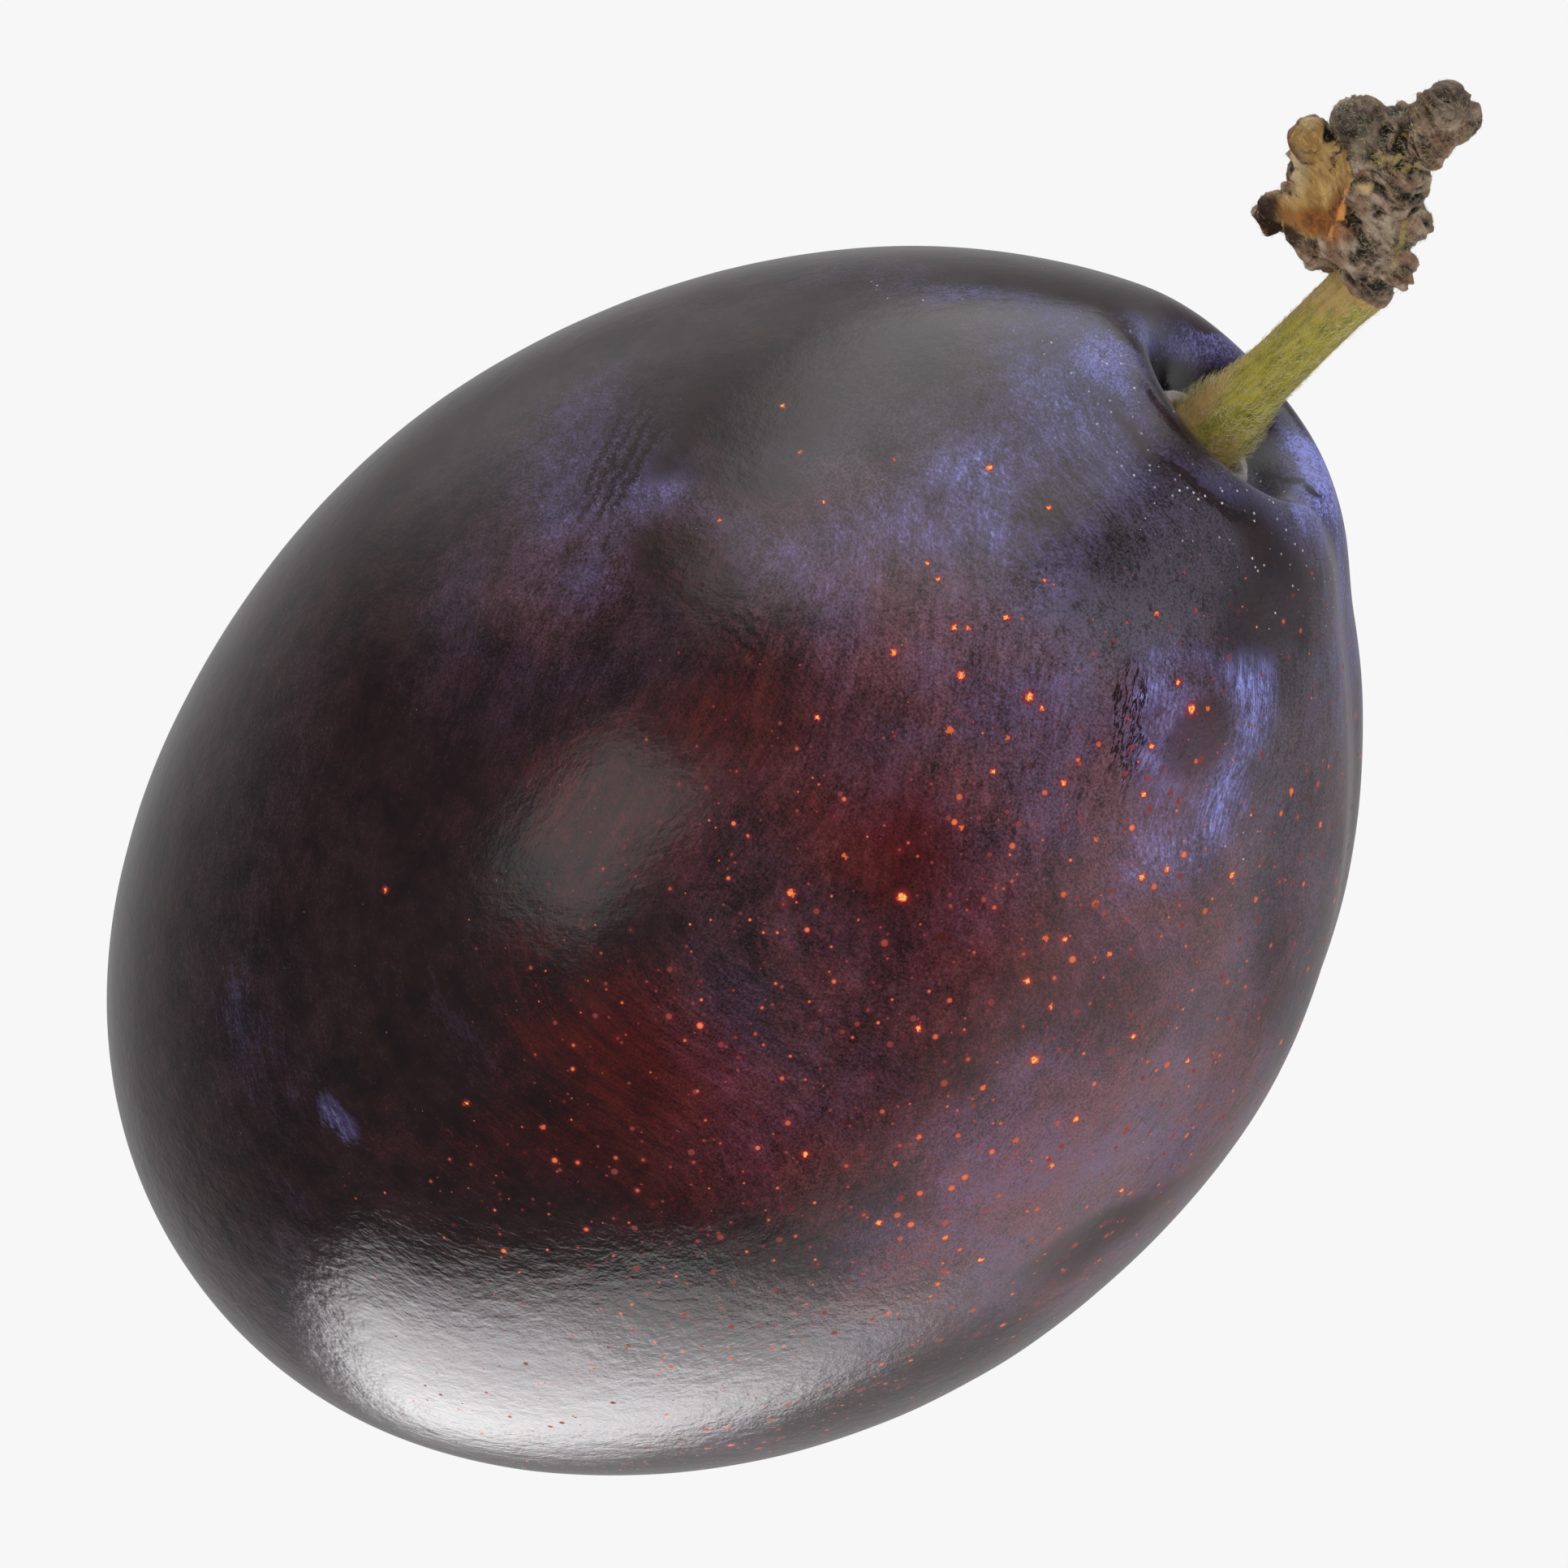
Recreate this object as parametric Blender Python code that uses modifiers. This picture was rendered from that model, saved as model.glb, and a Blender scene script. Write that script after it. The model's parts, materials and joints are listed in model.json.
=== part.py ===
# An oval plum lying on its cheek, with its hairy stem and a stub of the woody spur that it grew on.
# The long axis runs along X with the stem towards +X, and the suture groove is on the -Y side.

import math

import bmesh
import bpy
import numpy as np
from mathutils import Matrix, Vector

MM = 0.001  # every size below is in millimetres

# Fruit
HALF_WIDTH = 21.2  # axis to skin, from the back of the fruit to its suture
HALF_THICKNESS = 20.7  # axis to skin, from cheek to cheek
TIP_REACH = 27.45  # widest ring to the blossom tip
STEM_REACH = 29.9  # widest ring to where the stem end would close, had it no hollow
STEM_TAPER = 0.70  # exponent of the stem end: 0.5 is an ellipse, and more is more pointed
END_LEAN = 0.6  # how far both ends curve towards the back
TWO_LOBED = 0.13  # how far it is out of round, twice in a turn
THREE_LOBED = 0.1  # and three times in a turn
FLAT_DEPTH = 0.26  # how much the weight flattens the cheek that it lies on

# Hollow round the stem
HOLLOW_DEPTH = 6.4
HOLLOW_RADIUS = 3.3
HOLLOW_STEEPNESS = 3
HOLLOW_WIDER = 0.15  # how much wider it opens on the lower side than on the upper
CREST_RADIUS = 4.7  # of the mouth's highest ring
MOUTH_REACH = 8  # the hollow takes nothing from the skin beyond this distance from the axis
ROUND_WITHIN = 3.2  # nearer the axis than this the fruit is truly round
ROUND_FADE = 3
SOCKET_RADIUS = 2.75  # pit at the bottom that holds the stem's foot and its ring
SOCKET_FLOOR = 23.3  # distance of the pit's floor from the widest ring
SOCKET_WALL = SOCKET_FLOOR + 0.3  # where its wall starts, over a rounded corner

# Suture groove
SUTURE_ANGLE = math.radians(190)  # round the long axis, from +Y towards +Z
SUTURE_DEPTH = 0.22
SUTURE_WIDTH = 1.5
NOTCH_DEPTH = 0.75  # where the groove cuts the rim of the hollow
NOTCH_WIDTH = 1.0
TIP_DIMPLE = 0.35
TIP_DIMPLE_WIDTH = 1.3

# Stem
STEM_FOOT = 23.6  # distance of the cut foot from the widest ring
STEM_TOP = 35.0
STEM_SLOPE = math.tan(math.radians(1.9))  # it leans a little towards the back
STEM_CROSSING = 23.4  # where its middle line crosses the fruit's long axis
STEM_RADIUS = 1.1
FOOT_SWELL = 0.5  # how much thicker the foot is
FOOT_SWELL_END = 27.4  # where half of that is gone
TOP_SWELL = 0.1

# Pale ring of dry receptacle at the stem's foot
RING_INNER = 1.95
RING_OUTER = 2.4
RING_BASE = 24.1
RING_TOP = 26.15

# Stub of woody spur: each lobe is a centre, its half lengths along X, Y and Z, and a turn about Z in degrees
SPUR_LOBES = (
    ((35.1, 0.6, 0.0), (0.9, 1.6, 1.55), -16),  # swollen ring where the stem grows out
    ((36.4, 1.95, -0.1), (1.7, 1.85, 2.15), 20),  # lower mass
    ((36.2, 0.3, 0.2), (1.0, 0.95, 0.95), 0),  # lower bud on the right
    ((37.6, 0.95, -0.4), (1.05, 1.0, 1.3), 0),  # upper bud on the right
    ((38.4, 2.9, -0.1), (1.65, 1.85, 2.2), 0),  # upper mass
    ((38.95, 4.75, -0.3), (1.15, 1.25, 1.4), 0),  # dark knuckle
    ((39.8, 3.4, 0.0), (1.3, 1.25, 1.3), 0),  # neck under the broken end
    ((41.4, 2.95, 0.2), (1.75, 1.25, 1.25), 18),  # broken end of the spur
    ((42.0, 2.35, 0.1), (0.9, 0.8, 0.85), 0),  # knuckle on the broken end
    ((34.9, 3.3, 0.3), (0.85, 1.9, 1.1), -14),  # ledge under the torn face
    ((34.2, 4.75, 0.3), (0.65, 0.8, 0.7), 0),  # torn tip of the ledge
    ((36.6, 4.55, -0.7), (1.75, 1.45, 0.8), 25),  # thin wall behind the torn face
    ((37.35, 5.65, 0.0), (0.85, 0.85, 0.8), 0),  # knuckle over the torn face
)
TORN_SCOOP = ((36.4, 4.5, 1.3), (1.3, 1.3, 1.3), 20)  # hollow left where the wood tore away
BARK_LUMP_SIZE = 0.9
BARK_LUMP_HEIGHT = 0.35
BARK_FINENESS = 0.34
STEM_GAP = 0.3  # between the stem's top and the seat for it
SEAT_LENGTH = 3.0

FRUIT_SEGMENTS = 64
RING_SEGMENTS = 32
HOLLOW_SPACING = 0.6
BODY_SPACING = 2.3
REST_HEIGHT = HALF_THICKNESS - FLAT_DEPTH  # the long axis lies this high above the surface


def clear_scene():
    for thing in list(bpy.data.objects):
        bpy.data.objects.remove(thing)


def material(name, colour, roughness):
    made = bpy.data.materials.new(name)
    made.use_nodes = True
    shader = made.node_tree.nodes["Principled BSDF"]
    shader.inputs["Base Color"].default_value = (*colour, 1)
    shader.inputs["Roughness"].default_value = roughness
    shader.inputs["Metallic"].default_value = 0
    return made


def placed(point):
    """A point given from the widest ring's centre, in millimetres, as a place above the surface in metres."""
    return Vector((point[0], point[1], point[2] + REST_HEIGHT)) * MM


def outer_x(rho):
    """How far along the axis the stem end's skin lies at a distance from the axis, before the hollow."""
    return STEM_REACH * np.sqrt(1 - (rho / HALF_WIDTH) ** (1 / STEM_TAPER))


def hollow_drop(rho, radius):
    """How far the hollow takes the skin down at a distance from the axis."""
    return HOLLOW_DEPTH * np.exp(-((rho / radius) ** HOLLOW_STEEPNESS))


def profile():
    """(x, distance from the axis) of the turned outline, from the socket's floor out to the tip."""
    socket = [(SOCKET_FLOOR, 0), (SOCKET_FLOOR, SOCKET_RADIUS - 0.2), (SOCKET_WALL, SOCKET_RADIUS)]
    rho = np.linspace(SOCKET_RADIUS, MOUTH_REACH, 120)
    hollow = np.column_stack([outer_x(rho) - hollow_drop(rho, HOLLOW_RADIUS), rho])
    x = np.linspace(outer_x(MOUTH_REACH), 0, 160)[1:]
    shoulder = np.column_stack([x, HALF_WIDTH * (1 - (x / STEM_REACH) ** 2) ** STEM_TAPER])
    turn = np.linspace(0, math.pi / 2, 200)[1:]
    tip = np.column_stack([-TIP_REACH * np.sin(turn), HALF_WIDTH * np.cos(turn)])
    return np.vstack([socket, hollow, shoulder, tip])


def stations():
    """Places on the outline for the rings, close together in the hollow and wider over the body."""
    line = profile()
    step = np.hypot(*np.diff(line, axis=0).T)
    middle = (line[1:] + line[:-1]) / 2
    body = np.clip((middle[:, 1] - CREST_RADIUS) / MOUTH_REACH, 0, 1)
    body[middle[:, 0] < 0] = 1
    spacing = HOLLOW_SPACING + (BODY_SPACING - HOLLOW_SPACING) * body
    along = np.concatenate([[0], np.cumsum(step / spacing)])
    wanted = np.linspace(0, along[-1], round(along[-1]) + 1)
    return np.column_stack([np.interp(wanted, along, line[:, k]) for k in (0, 1)])


def skin(x, rho, angle):
    """The skin's point for a place on the outline and an angle round the axis, with everything that isn't round."""
    away = (angle - SUTURE_ANGLE + math.pi) % (2 * math.pi) - math.pi
    across = rho * math.sin(away) if math.cos(away) > 0 else math.inf
    on_body = min(1, max(0, (rho - ROUND_WITHIN) / ROUND_FADE))
    groove = SUTURE_DEPTH * (1 + 0.8 * (x / TIP_REACH) ** 2) * math.exp(-((across / SUTURE_WIDTH) ** 2))
    swell = TWO_LOBED * math.sin(2 * angle + 0.16 * x) + THREE_LOBED * math.sin(3 * angle - 0.21 * x + 1)
    wide = rho + on_body * (swell * rho / HALF_WIDTH - groove)
    thin = 1 - (1 - HALF_THICKNESS / HALF_WIDTH) * on_body
    lean = END_LEAN * ((x / TIP_REACH) ** 2 - 0.25)
    if x < 0:
        x += TIP_DIMPLE * math.exp(-((rho / TIP_DIMPLE_WIDTH) ** 2))
    else:
        lean *= on_body
        rim = math.exp(-(((rho - CREST_RADIUS) / 1.5) ** 2))
        notch = NOTCH_DEPTH * rim * math.exp(-((across / NOTCH_WIDTH) ** 2))
        wider = HOLLOW_RADIUS * (1 + HOLLOW_WIDER * ((1 - math.sin(angle)) / 2) ** 2)
        wall_top = outer_x(SOCKET_RADIUS) - hollow_drop(SOCKET_RADIUS, HOLLOW_RADIUS)
        share = min(1, max(0, (x - SOCKET_WALL) / (wall_top - SOCKET_WALL))) if rho < MOUTH_REACH else 0
        x -= notch + share * (hollow_drop(rho, wider) - hollow_drop(rho, HOLLOW_RADIUS))
    return placed((x, wide * math.cos(angle) + lean, wide * math.sin(angle) * thin))


def make_fruit(collection, surface):
    """A sphere whose rings are carried to the outline, then trimmed flat where it lies."""
    line = stations()
    rings = len(line) - 1
    mesh = bmesh.new()
    bmesh.ops.create_uvsphere(mesh, u_segments=FRUIT_SEGMENTS, v_segments=rings, radius=1)
    for vertex in mesh.verts:
        polar = math.acos(max(-1, min(1, vertex.co.z)))
        around = math.atan2(vertex.co.y, vertex.co.x) + SUTURE_ANGLE
        # half as far apart at the groove as they would be, so that the groove is sharp
        angle = around - 0.5 * math.sin(around - SUTURE_ANGLE)
        x, rho = line[round(polar / math.pi * rings)]
        vertex.co = skin(x, rho, angle)
    cut = bmesh.ops.bisect_plane(mesh, geom=mesh.verts[:] + mesh.edges[:] + mesh.faces[:], plane_co=(0, 0, 0),
                                 plane_no=(0, 0, -1), clear_outer=True)
    edges = [piece for piece in cut["geom_cut"] if isinstance(piece, bmesh.types.BMEdge)]
    bmesh.ops.contextual_create(mesh, geom=edges)
    bmesh.ops.recalc_face_normals(mesh, faces=mesh.faces)
    fruit = object_from(mesh, "fruit", collection, surface)
    fruit.data.set_sharp_from_angle(angle=math.radians(50))
    return fruit


def object_from(mesh, name, collection, surface=None):
    data = bpy.data.meshes.new(name)
    mesh.to_mesh(data)
    mesh.free()
    data.shade_smooth()
    if surface:
        data.materials.append(surface)
    made = bpy.data.objects.new(name, data)
    collection.objects.link(made)
    return made


def stem_point(x):
    return placed((x, (x - STEM_CROSSING) * STEM_SLOPE, 0))


def stem_radius(x):
    foot = FOOT_SWELL / (1 + math.exp((x - FOOT_SWELL_END) / 0.9))
    top = TOP_SWELL * math.exp(-(((STEM_TOP - x) / 0.8) ** 2))
    return STEM_RADIUS + foot + top


def make_stem(collection, surface):
    """A round bar that is widest at its foot and swells again under the spur."""
    line = bpy.data.curves.new("stem", "CURVE")
    line.dimensions = "3D"
    line.bevel_depth = MM
    line.bevel_resolution = 4
    line.use_fill_caps = True
    spline = line.splines.new("POLY")
    xs = np.linspace(STEM_FOOT, STEM_TOP, 16)
    spline.points.add(len(xs) - 1)
    for point, x in zip(spline.points, xs):
        point.co = (*stem_point(x), 1)
        point.radius = stem_radius(x)
    line.materials.append(surface)
    stem = bpy.data.objects.new("stem", line)
    collection.objects.link(stem)
    return stem


def make_ring(collection, surface):
    """The turned ring at the stem's foot, with a thin rounded lip."""
    lip = 0.12
    outline = [(RING_TOP - lip, RING_OUTER), (RING_BASE, RING_OUTER), (RING_BASE, RING_INNER),
               (RING_TOP - lip, RING_INNER), (RING_TOP, RING_INNER + lip), (RING_TOP, RING_OUTER - lip)]
    mesh = bmesh.new()
    corners = [mesh.verts.new((rho * MM, 0, x * MM)) for x, rho in outline]
    for first, second in zip(corners, corners[1:] + corners[:1]):
        mesh.edges.new((first, second))
    ring = object_from(mesh, "stem_ring", collection, surface)
    screw = ring.modifiers.new("turn", "SCREW")
    screw.steps = screw.render_steps = RING_SEGMENTS
    screw.use_merge_vertices = True
    screw.merge_threshold = 0.00001
    ring.rotation_euler = (0, math.pi / 2, 0)
    ring.location = placed((0, stem_point((RING_BASE + RING_TOP) / 2).y / MM, 0))
    return ring


def add_ellipsoid(mesh, centre, halves, turn, subdivisions):
    stretch = Matrix.Diagonal((*halves, 1))
    place = Matrix.Translation(placed(centre)) @ Matrix.Rotation(math.radians(turn), 4, "Z")
    bmesh.ops.create_icosphere(mesh, subdivisions=subdivisions, radius=MM, matrix=place @ stretch)


def make_spur(collection, cutters, surface):
    """Overlapping lobes grown into one lump, roughened, torn open on one side and seated on the stem."""
    mesh = bmesh.new()
    for centre, halves, turn in SPUR_LOBES:
        add_ellipsoid(mesh, centre, halves, turn, 3)
    spur = object_from(mesh, "spur_stub", collection, surface)
    skin_over = spur.modifiers.new("grow together", "REMESH")
    skin_over.mode = "VOXEL"
    skin_over.voxel_size = BARK_FINENESS * MM
    ease = spur.modifiers.new("ease", "SMOOTH")
    ease.factor = 0.5
    ease.iterations = 3
    lumps = bpy.data.textures.new("bark lumps", "CLOUDS")
    lumps.noise_scale = BARK_LUMP_SIZE * MM
    rough = spur.modifiers.new("roughen", "DISPLACE")
    rough.texture = lumps
    rough.texture_coords = "LOCAL"
    rough.strength = BARK_LUMP_HEIGHT * MM
    scoop = bmesh.new()
    add_ellipsoid(scoop, *TORN_SCOOP, 3)
    cut(spur, object_from(scoop, "torn_scoop", cutters))
    seat = bmesh.new()
    radius = (stem_radius(STEM_TOP) + STEM_GAP) * MM
    middle = (stem_point(STEM_TOP + STEM_GAP) + stem_point(STEM_TOP - SEAT_LENGTH)) / 2
    along = (stem_point(STEM_TOP) - stem_point(STEM_FOOT)).to_track_quat("Z", "Y").to_matrix().to_4x4()
    bmesh.ops.create_cone(seat, cap_ends=True, segments=RING_SEGMENTS, radius1=radius, radius2=radius,
                          depth=(SEAT_LENGTH + STEM_GAP) * MM, matrix=Matrix.Translation(middle) @ along)
    cut(spur, object_from(seat, "stem_seat", cutters))
    return spur


def cut(body, cutter):
    cutter.hide_render = True
    cutter.display_type = "WIRE"
    trim = body.modifiers.new(cutter.name, "BOOLEAN")
    trim.operation = "DIFFERENCE"
    trim.object = cutter


def main():
    clear_scene()
    plum = bpy.data.collections.new("plum")
    cutters = bpy.data.collections.new("cutters")
    for collection in (plum, cutters):
        bpy.context.scene.collection.children.link(collection)
    make_fruit(plum, material("plum skin", (0.03, 0.016, 0.024), 0.38))
    make_stem(plum, material("green stem", (0.3, 0.29, 0.05), 0.6))
    make_ring(plum, material("dry receptacle", (0.36, 0.32, 0.31), 0.8))
    make_spur(plum, cutters, material("spur bark", (0.1, 0.07, 0.05), 0.85))


main()
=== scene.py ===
import json
import math
from functools import partial, reduce
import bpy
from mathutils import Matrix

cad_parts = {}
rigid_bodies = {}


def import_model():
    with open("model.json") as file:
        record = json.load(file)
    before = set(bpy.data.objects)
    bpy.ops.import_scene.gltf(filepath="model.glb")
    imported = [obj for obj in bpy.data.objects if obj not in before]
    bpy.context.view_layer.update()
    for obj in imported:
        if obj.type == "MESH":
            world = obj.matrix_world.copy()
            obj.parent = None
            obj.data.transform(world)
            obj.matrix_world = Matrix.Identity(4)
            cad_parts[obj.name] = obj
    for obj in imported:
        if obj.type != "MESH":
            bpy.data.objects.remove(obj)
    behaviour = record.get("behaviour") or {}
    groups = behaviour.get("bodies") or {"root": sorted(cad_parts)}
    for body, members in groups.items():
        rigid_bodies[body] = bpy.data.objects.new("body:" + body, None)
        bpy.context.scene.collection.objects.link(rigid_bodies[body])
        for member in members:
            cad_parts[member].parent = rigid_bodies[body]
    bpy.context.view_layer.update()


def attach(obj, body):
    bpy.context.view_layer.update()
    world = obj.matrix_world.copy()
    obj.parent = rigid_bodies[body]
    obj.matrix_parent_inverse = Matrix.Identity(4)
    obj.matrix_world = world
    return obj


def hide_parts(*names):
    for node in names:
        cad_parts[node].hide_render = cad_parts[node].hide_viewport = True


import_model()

from types import SimpleNamespace

import bpy
import numpy as np
from mathutils import Matrix, Vector
from mathutils.kdtree import KDTree

# A ripe oval plum on a pale floor. All shape values are in millimetres, measured from the middle of the
# fruit's widest ring: x along the stem, y across, z up. inMetres() puts them above the floor.
restHeight = 20.44
mm = 0.001


def inMetres(points):
    return (np.asarray(points, float) + [0, 0, restHeight]) * mm


# Clearing: cameras and lights go; the frame's own bodies and parts stay
for thing in list(bpy.data.objects):
    if thing.type in ("CAMERA", "LIGHT"):
        bpy.data.objects.remove(thing)


# Helpers
def colour(hexCode, alpha=1.0):
    # sRGB hex to the linear values that the shaders use
    parts = [int(hexCode[i:i + 2], 16) / 255 for i in (1, 3, 5)]
    return tuple(c / 12.92 if c <= 0.04045 else ((c + 0.055) / 1.055) ** 2.4 for c in parts) + (alpha,)


# short names for the kinds of node that are used most, and the setting that a kind's mode goes to
shortNames = dict(times="Math MULTIPLY", plus="Math ADD", minus="Math SUBTRACT", over="Math DIVIDE",
                  most="Math MAXIMUM", least="Math MINIMUM", fade="MapRange SMOOTHSTEP", mix="Mix RGBA",
                  dot="VectorMath DOT_PRODUCT", length="VectorMath LENGTH", noise="TexNoise")
modes = dict(Math="operation", VectorMath="operation", Mix="data_type", MapRange="interpolation_type",
             Mapping="vector_type")


def addNode(tree, kind, *inputs, out=0, **named):
    # One node, whose kind may be followed by its mode. Inputs are values, hex colours or other nodes'
    # outputs, in the order of the sockets that are in use. A name with a capital is a socket, and any other
    # is a setting.
    kind, _, mode = shortNames.get(kind, kind).partition(" ")
    made = tree.nodes.new("ShaderNode" + kind)
    if mode:
        setattr(made, modes[kind], mode)
    for key in [key for key in named if key[0].islower()]:
        setattr(made, key, named.pop(key))
    sockets = [socket for socket in made.inputs if socket.enabled]
    for socket, value in [*zip(sockets, inputs),
                          *((made.inputs[key], value) for key, value in named.items())]:
        if isinstance(value, bpy.types.NodeSocket):
            tree.links.new(value, socket)
        else:
            socket.default_value = colour(value) if isinstance(value, str) else value
    results = [socket for socket in made.outputs if socket.enabled]
    if out is None or not results:
        return made
    return results[out] if isinstance(out, int) else made.outputs[out]


def newMaterial(name):
    # a material, the function that adds its nodes, and the place on the surface in metres
    made = bpy.data.materials.new(name)
    made.use_nodes = True
    add = partial(addNode, made.node_tree)
    return made, add, add("TexCoord", out="Object")


def dress(material, skin, roughness, height=None, strength=0.0, depth=0.0, ior=1.5):
    # colour, roughness and relief go on the shader; a plain number is set on its own socket
    tree = material.node_tree
    shader = tree.nodes["Principled BSDF"]
    tree.links.new(skin, shader.inputs["Base Color"])
    shader.inputs["IOR"].default_value = ior
    if isinstance(roughness, float):
        shader.inputs["Roughness"].default_value = roughness
    else:
        tree.links.new(roughness, shader.inputs["Roughness"])
    if height:
        bump = addNode(tree, "Bump", Height=height, Strength=strength, Distance=depth)
        tree.links.new(bump, shader.inputs["Normal"])
    return material


def stirred(add, base, *terms):
    # the base plus noises, each centred on 0 and multiplied by its gain
    for noise, gain in terms:
        part = add("times", add("minus", noise, 0.5), gain)
        base = add("plus", base, part) if base else part
    return base


def smoothStep(values, low, high):
    # 0 below low, 1 above high, an s-curve between
    share = np.clip((values - low) / (high - low), 0, 1)
    return share * share * (3 - 2 * share)


def lumps(points, size, seed):
    # smooth random field from -1 to 1: random values on a lattice with that spacing, blended with s-curves
    table = np.random.default_rng(seed).uniform(-1, 1, 8192)
    cell = points / size + 1000.5 + seed * 0.37
    low = np.floor(cell).astype(np.int64)
    share = cell - low
    share = share * share * (3 - 2 * share)
    total = np.zeros(len(points))
    for corner in range(8):
        step = np.array([corner & 1, corner >> 1 & 1, corner >> 2 & 1])
        at = (low + step) @ np.array([73856093, 19349663, 83492791])
        weight = np.where(step, share, 1 - share).prod(axis=1)
        total += weight * table[(at ^ (at >> 13)) % 8192]
    return total


def gridFaces(rows, columns):
    # quads of a grid that closes on itself round its columns, with a single vertex beyond each end row
    row, column = np.meshgrid(np.arange(rows - 1), np.arange(columns), indexing="ij")
    beside = (column + 1) % columns
    quads = np.stack([row * columns + column, row * columns + beside,
                      (row + 1) * columns + beside, (row + 1) * columns + column], -1).reshape(-1, 4)
    around = np.arange(columns)
    after = (around + 1) % columns
    first, last, base = rows * columns, rows * columns + 1, (rows - 1) * columns
    caps = [[first, b, a] for a, b in zip(around, after)] + [[last, base + a, base + b] for a,
            b in zip(around, after)]
    return quads.tolist(), [[int(i) for i in cap] for cap in caps]


def makeObject(name, points, faces, material):
    # a mesh object at the origin, its place in its mesh, with the faces as given
    mesh = bpy.data.meshes.new(name)
    mesh.from_pydata(np.asarray(points).tolist(), [], faces)
    mesh.update()
    mesh.shade_smooth()
    made = bpy.data.objects.new(name, mesh)
    bpy.context.scene.collection.objects.link(made)
    mesh.materials.append(material)
    return made


def signedVolume(points, quads):
    a, b, c, d = (points[[q[k] for q in quads]] for k in range(4))
    return (np.einsum("ij,ij->", a, np.cross(b, c)) + np.einsum("ij,ij->", a, np.cross(c, d))) / 6


def closedGrid(points, firstPole, lastPole, rows, columns):
    # all vertices and faces of a closed grid, wound so that the faces point outwards
    quads, caps = gridFaces(rows, columns)
    every = np.vstack([points.reshape(-1, 3), firstPole, lastPole])
    middle = every.mean(axis=0)
    faces = quads + caps
    if signedVolume(every - middle, quads) < 0:
        faces = [face[::-1] for face in faces]
    return every, faces


def storeField(thing, name, values, domain="POINT"):
    kind = "FLOAT" if values.ndim == 1 else "FLOAT_VECTOR"
    layer = thing.data.attributes.new(name, kind, domain)
    layer.data.foreach_set("value" if kind == "FLOAT" else "vector", values.astype(np.float32).ravel())


# Camera: from above, leaning towards the stem, at the photograph's angle
view = dict(pitch=25, roll=42.3, distance=500, aside=1.69, above=3.07, lens=300.5)
pitch, roll = math.radians(view["pitch"]), math.radians(view["roll"])
viewRight = np.array([math.cos(roll) * math.cos(pitch), -math.sin(roll), -math.cos(roll) * math.sin(pitch)])
viewUp = np.array([math.sin(roll) * math.cos(pitch), math.cos(roll), -math.sin(roll) * math.sin(pitch)])
viewBack = np.array([math.sin(pitch), 0, math.cos(pitch)])
eye = viewRight * view["aside"] + viewUp * view["above"] + viewBack * view["distance"]

cameraData = bpy.data.cameras.new("camera")
cameraData.lens = view["lens"]
cameraData.sensor_width = 36
cameraData.clip_start = 0.01
camera = bpy.data.objects.new("camera", cameraData)
turned = Matrix(np.column_stack([viewRight, viewUp, viewBack]).tolist()).to_4x4()
camera.matrix_world = Matrix.Translation(Vector(inMetres(eye))) @ turned
bpy.context.scene.collection.objects.link(camera)
bpy.context.scene.camera = camera
print("camera placed")


mmPerPixel = 0.031  # at the fruit's middle


def onPhoto(points):
    # where the camera sees each point, in pixels of a picture 1932 wide, from its top left corner
    away = points - eye
    depth = -(away @ viewBack)
    scale = view["lens"] / 36 * 1932
    return 966 + away @ viewRight / depth * scale, 966 - away @ viewUp / depth * scale


# Light: a dark studio with soft panels, each at the bearing in degrees where the fruit's gloss mirrors it
panels = dict(
    window=dict(azimuth=-154.3, elevation=-11.5, halfWide=16.6, halfHigh=20.5, tilt=20, soft=0.08,
                strength=3.0, low=True),
    windowSpill=dict(azimuth=-148.3, elevation=-1.5, halfWide=23.8, halfHigh=24, tilt=18, soft=0.12,
                     strength=2.65, low=True),
    rightWall=dict(azimuth=-90, elevation=0, halfWide=40, halfHigh=32, soft=0.8, strength=0.9),
    backWall=dict(azimuth=36, elevation=-3, halfWide=31, halfHigh=42, soft=0.6, strength=1.75),
    backSide=dict(azimuth=75, elevation=-15, halfWide=30, halfHigh=32, soft=0.9, strength=0.42),
    topDisc=dict(azimuth=102, elevation=67, halfWide=12, halfHigh=12, soft=0.6, strength=1.45),
)
# away from the panels the studio goes from gloom above to offPaper below; the low panels fade between
# hiddenFrom and clearFrom, the cosines of a direction's angle to the camera
lights = dict(hiddenFrom=-0.9, clearFrom=-0.82, paper=0.930, gloom=0.02, offPaper=0.38, topFill=2.15,
              rightFill=1.1, leftFill=0.7)


def direction(azimuth, elevation):
    a, e = math.radians(azimuth), math.radians(elevation)
    return Vector((math.cos(a) * math.cos(e), math.sin(a) * math.cos(e), math.sin(e)))


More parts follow.
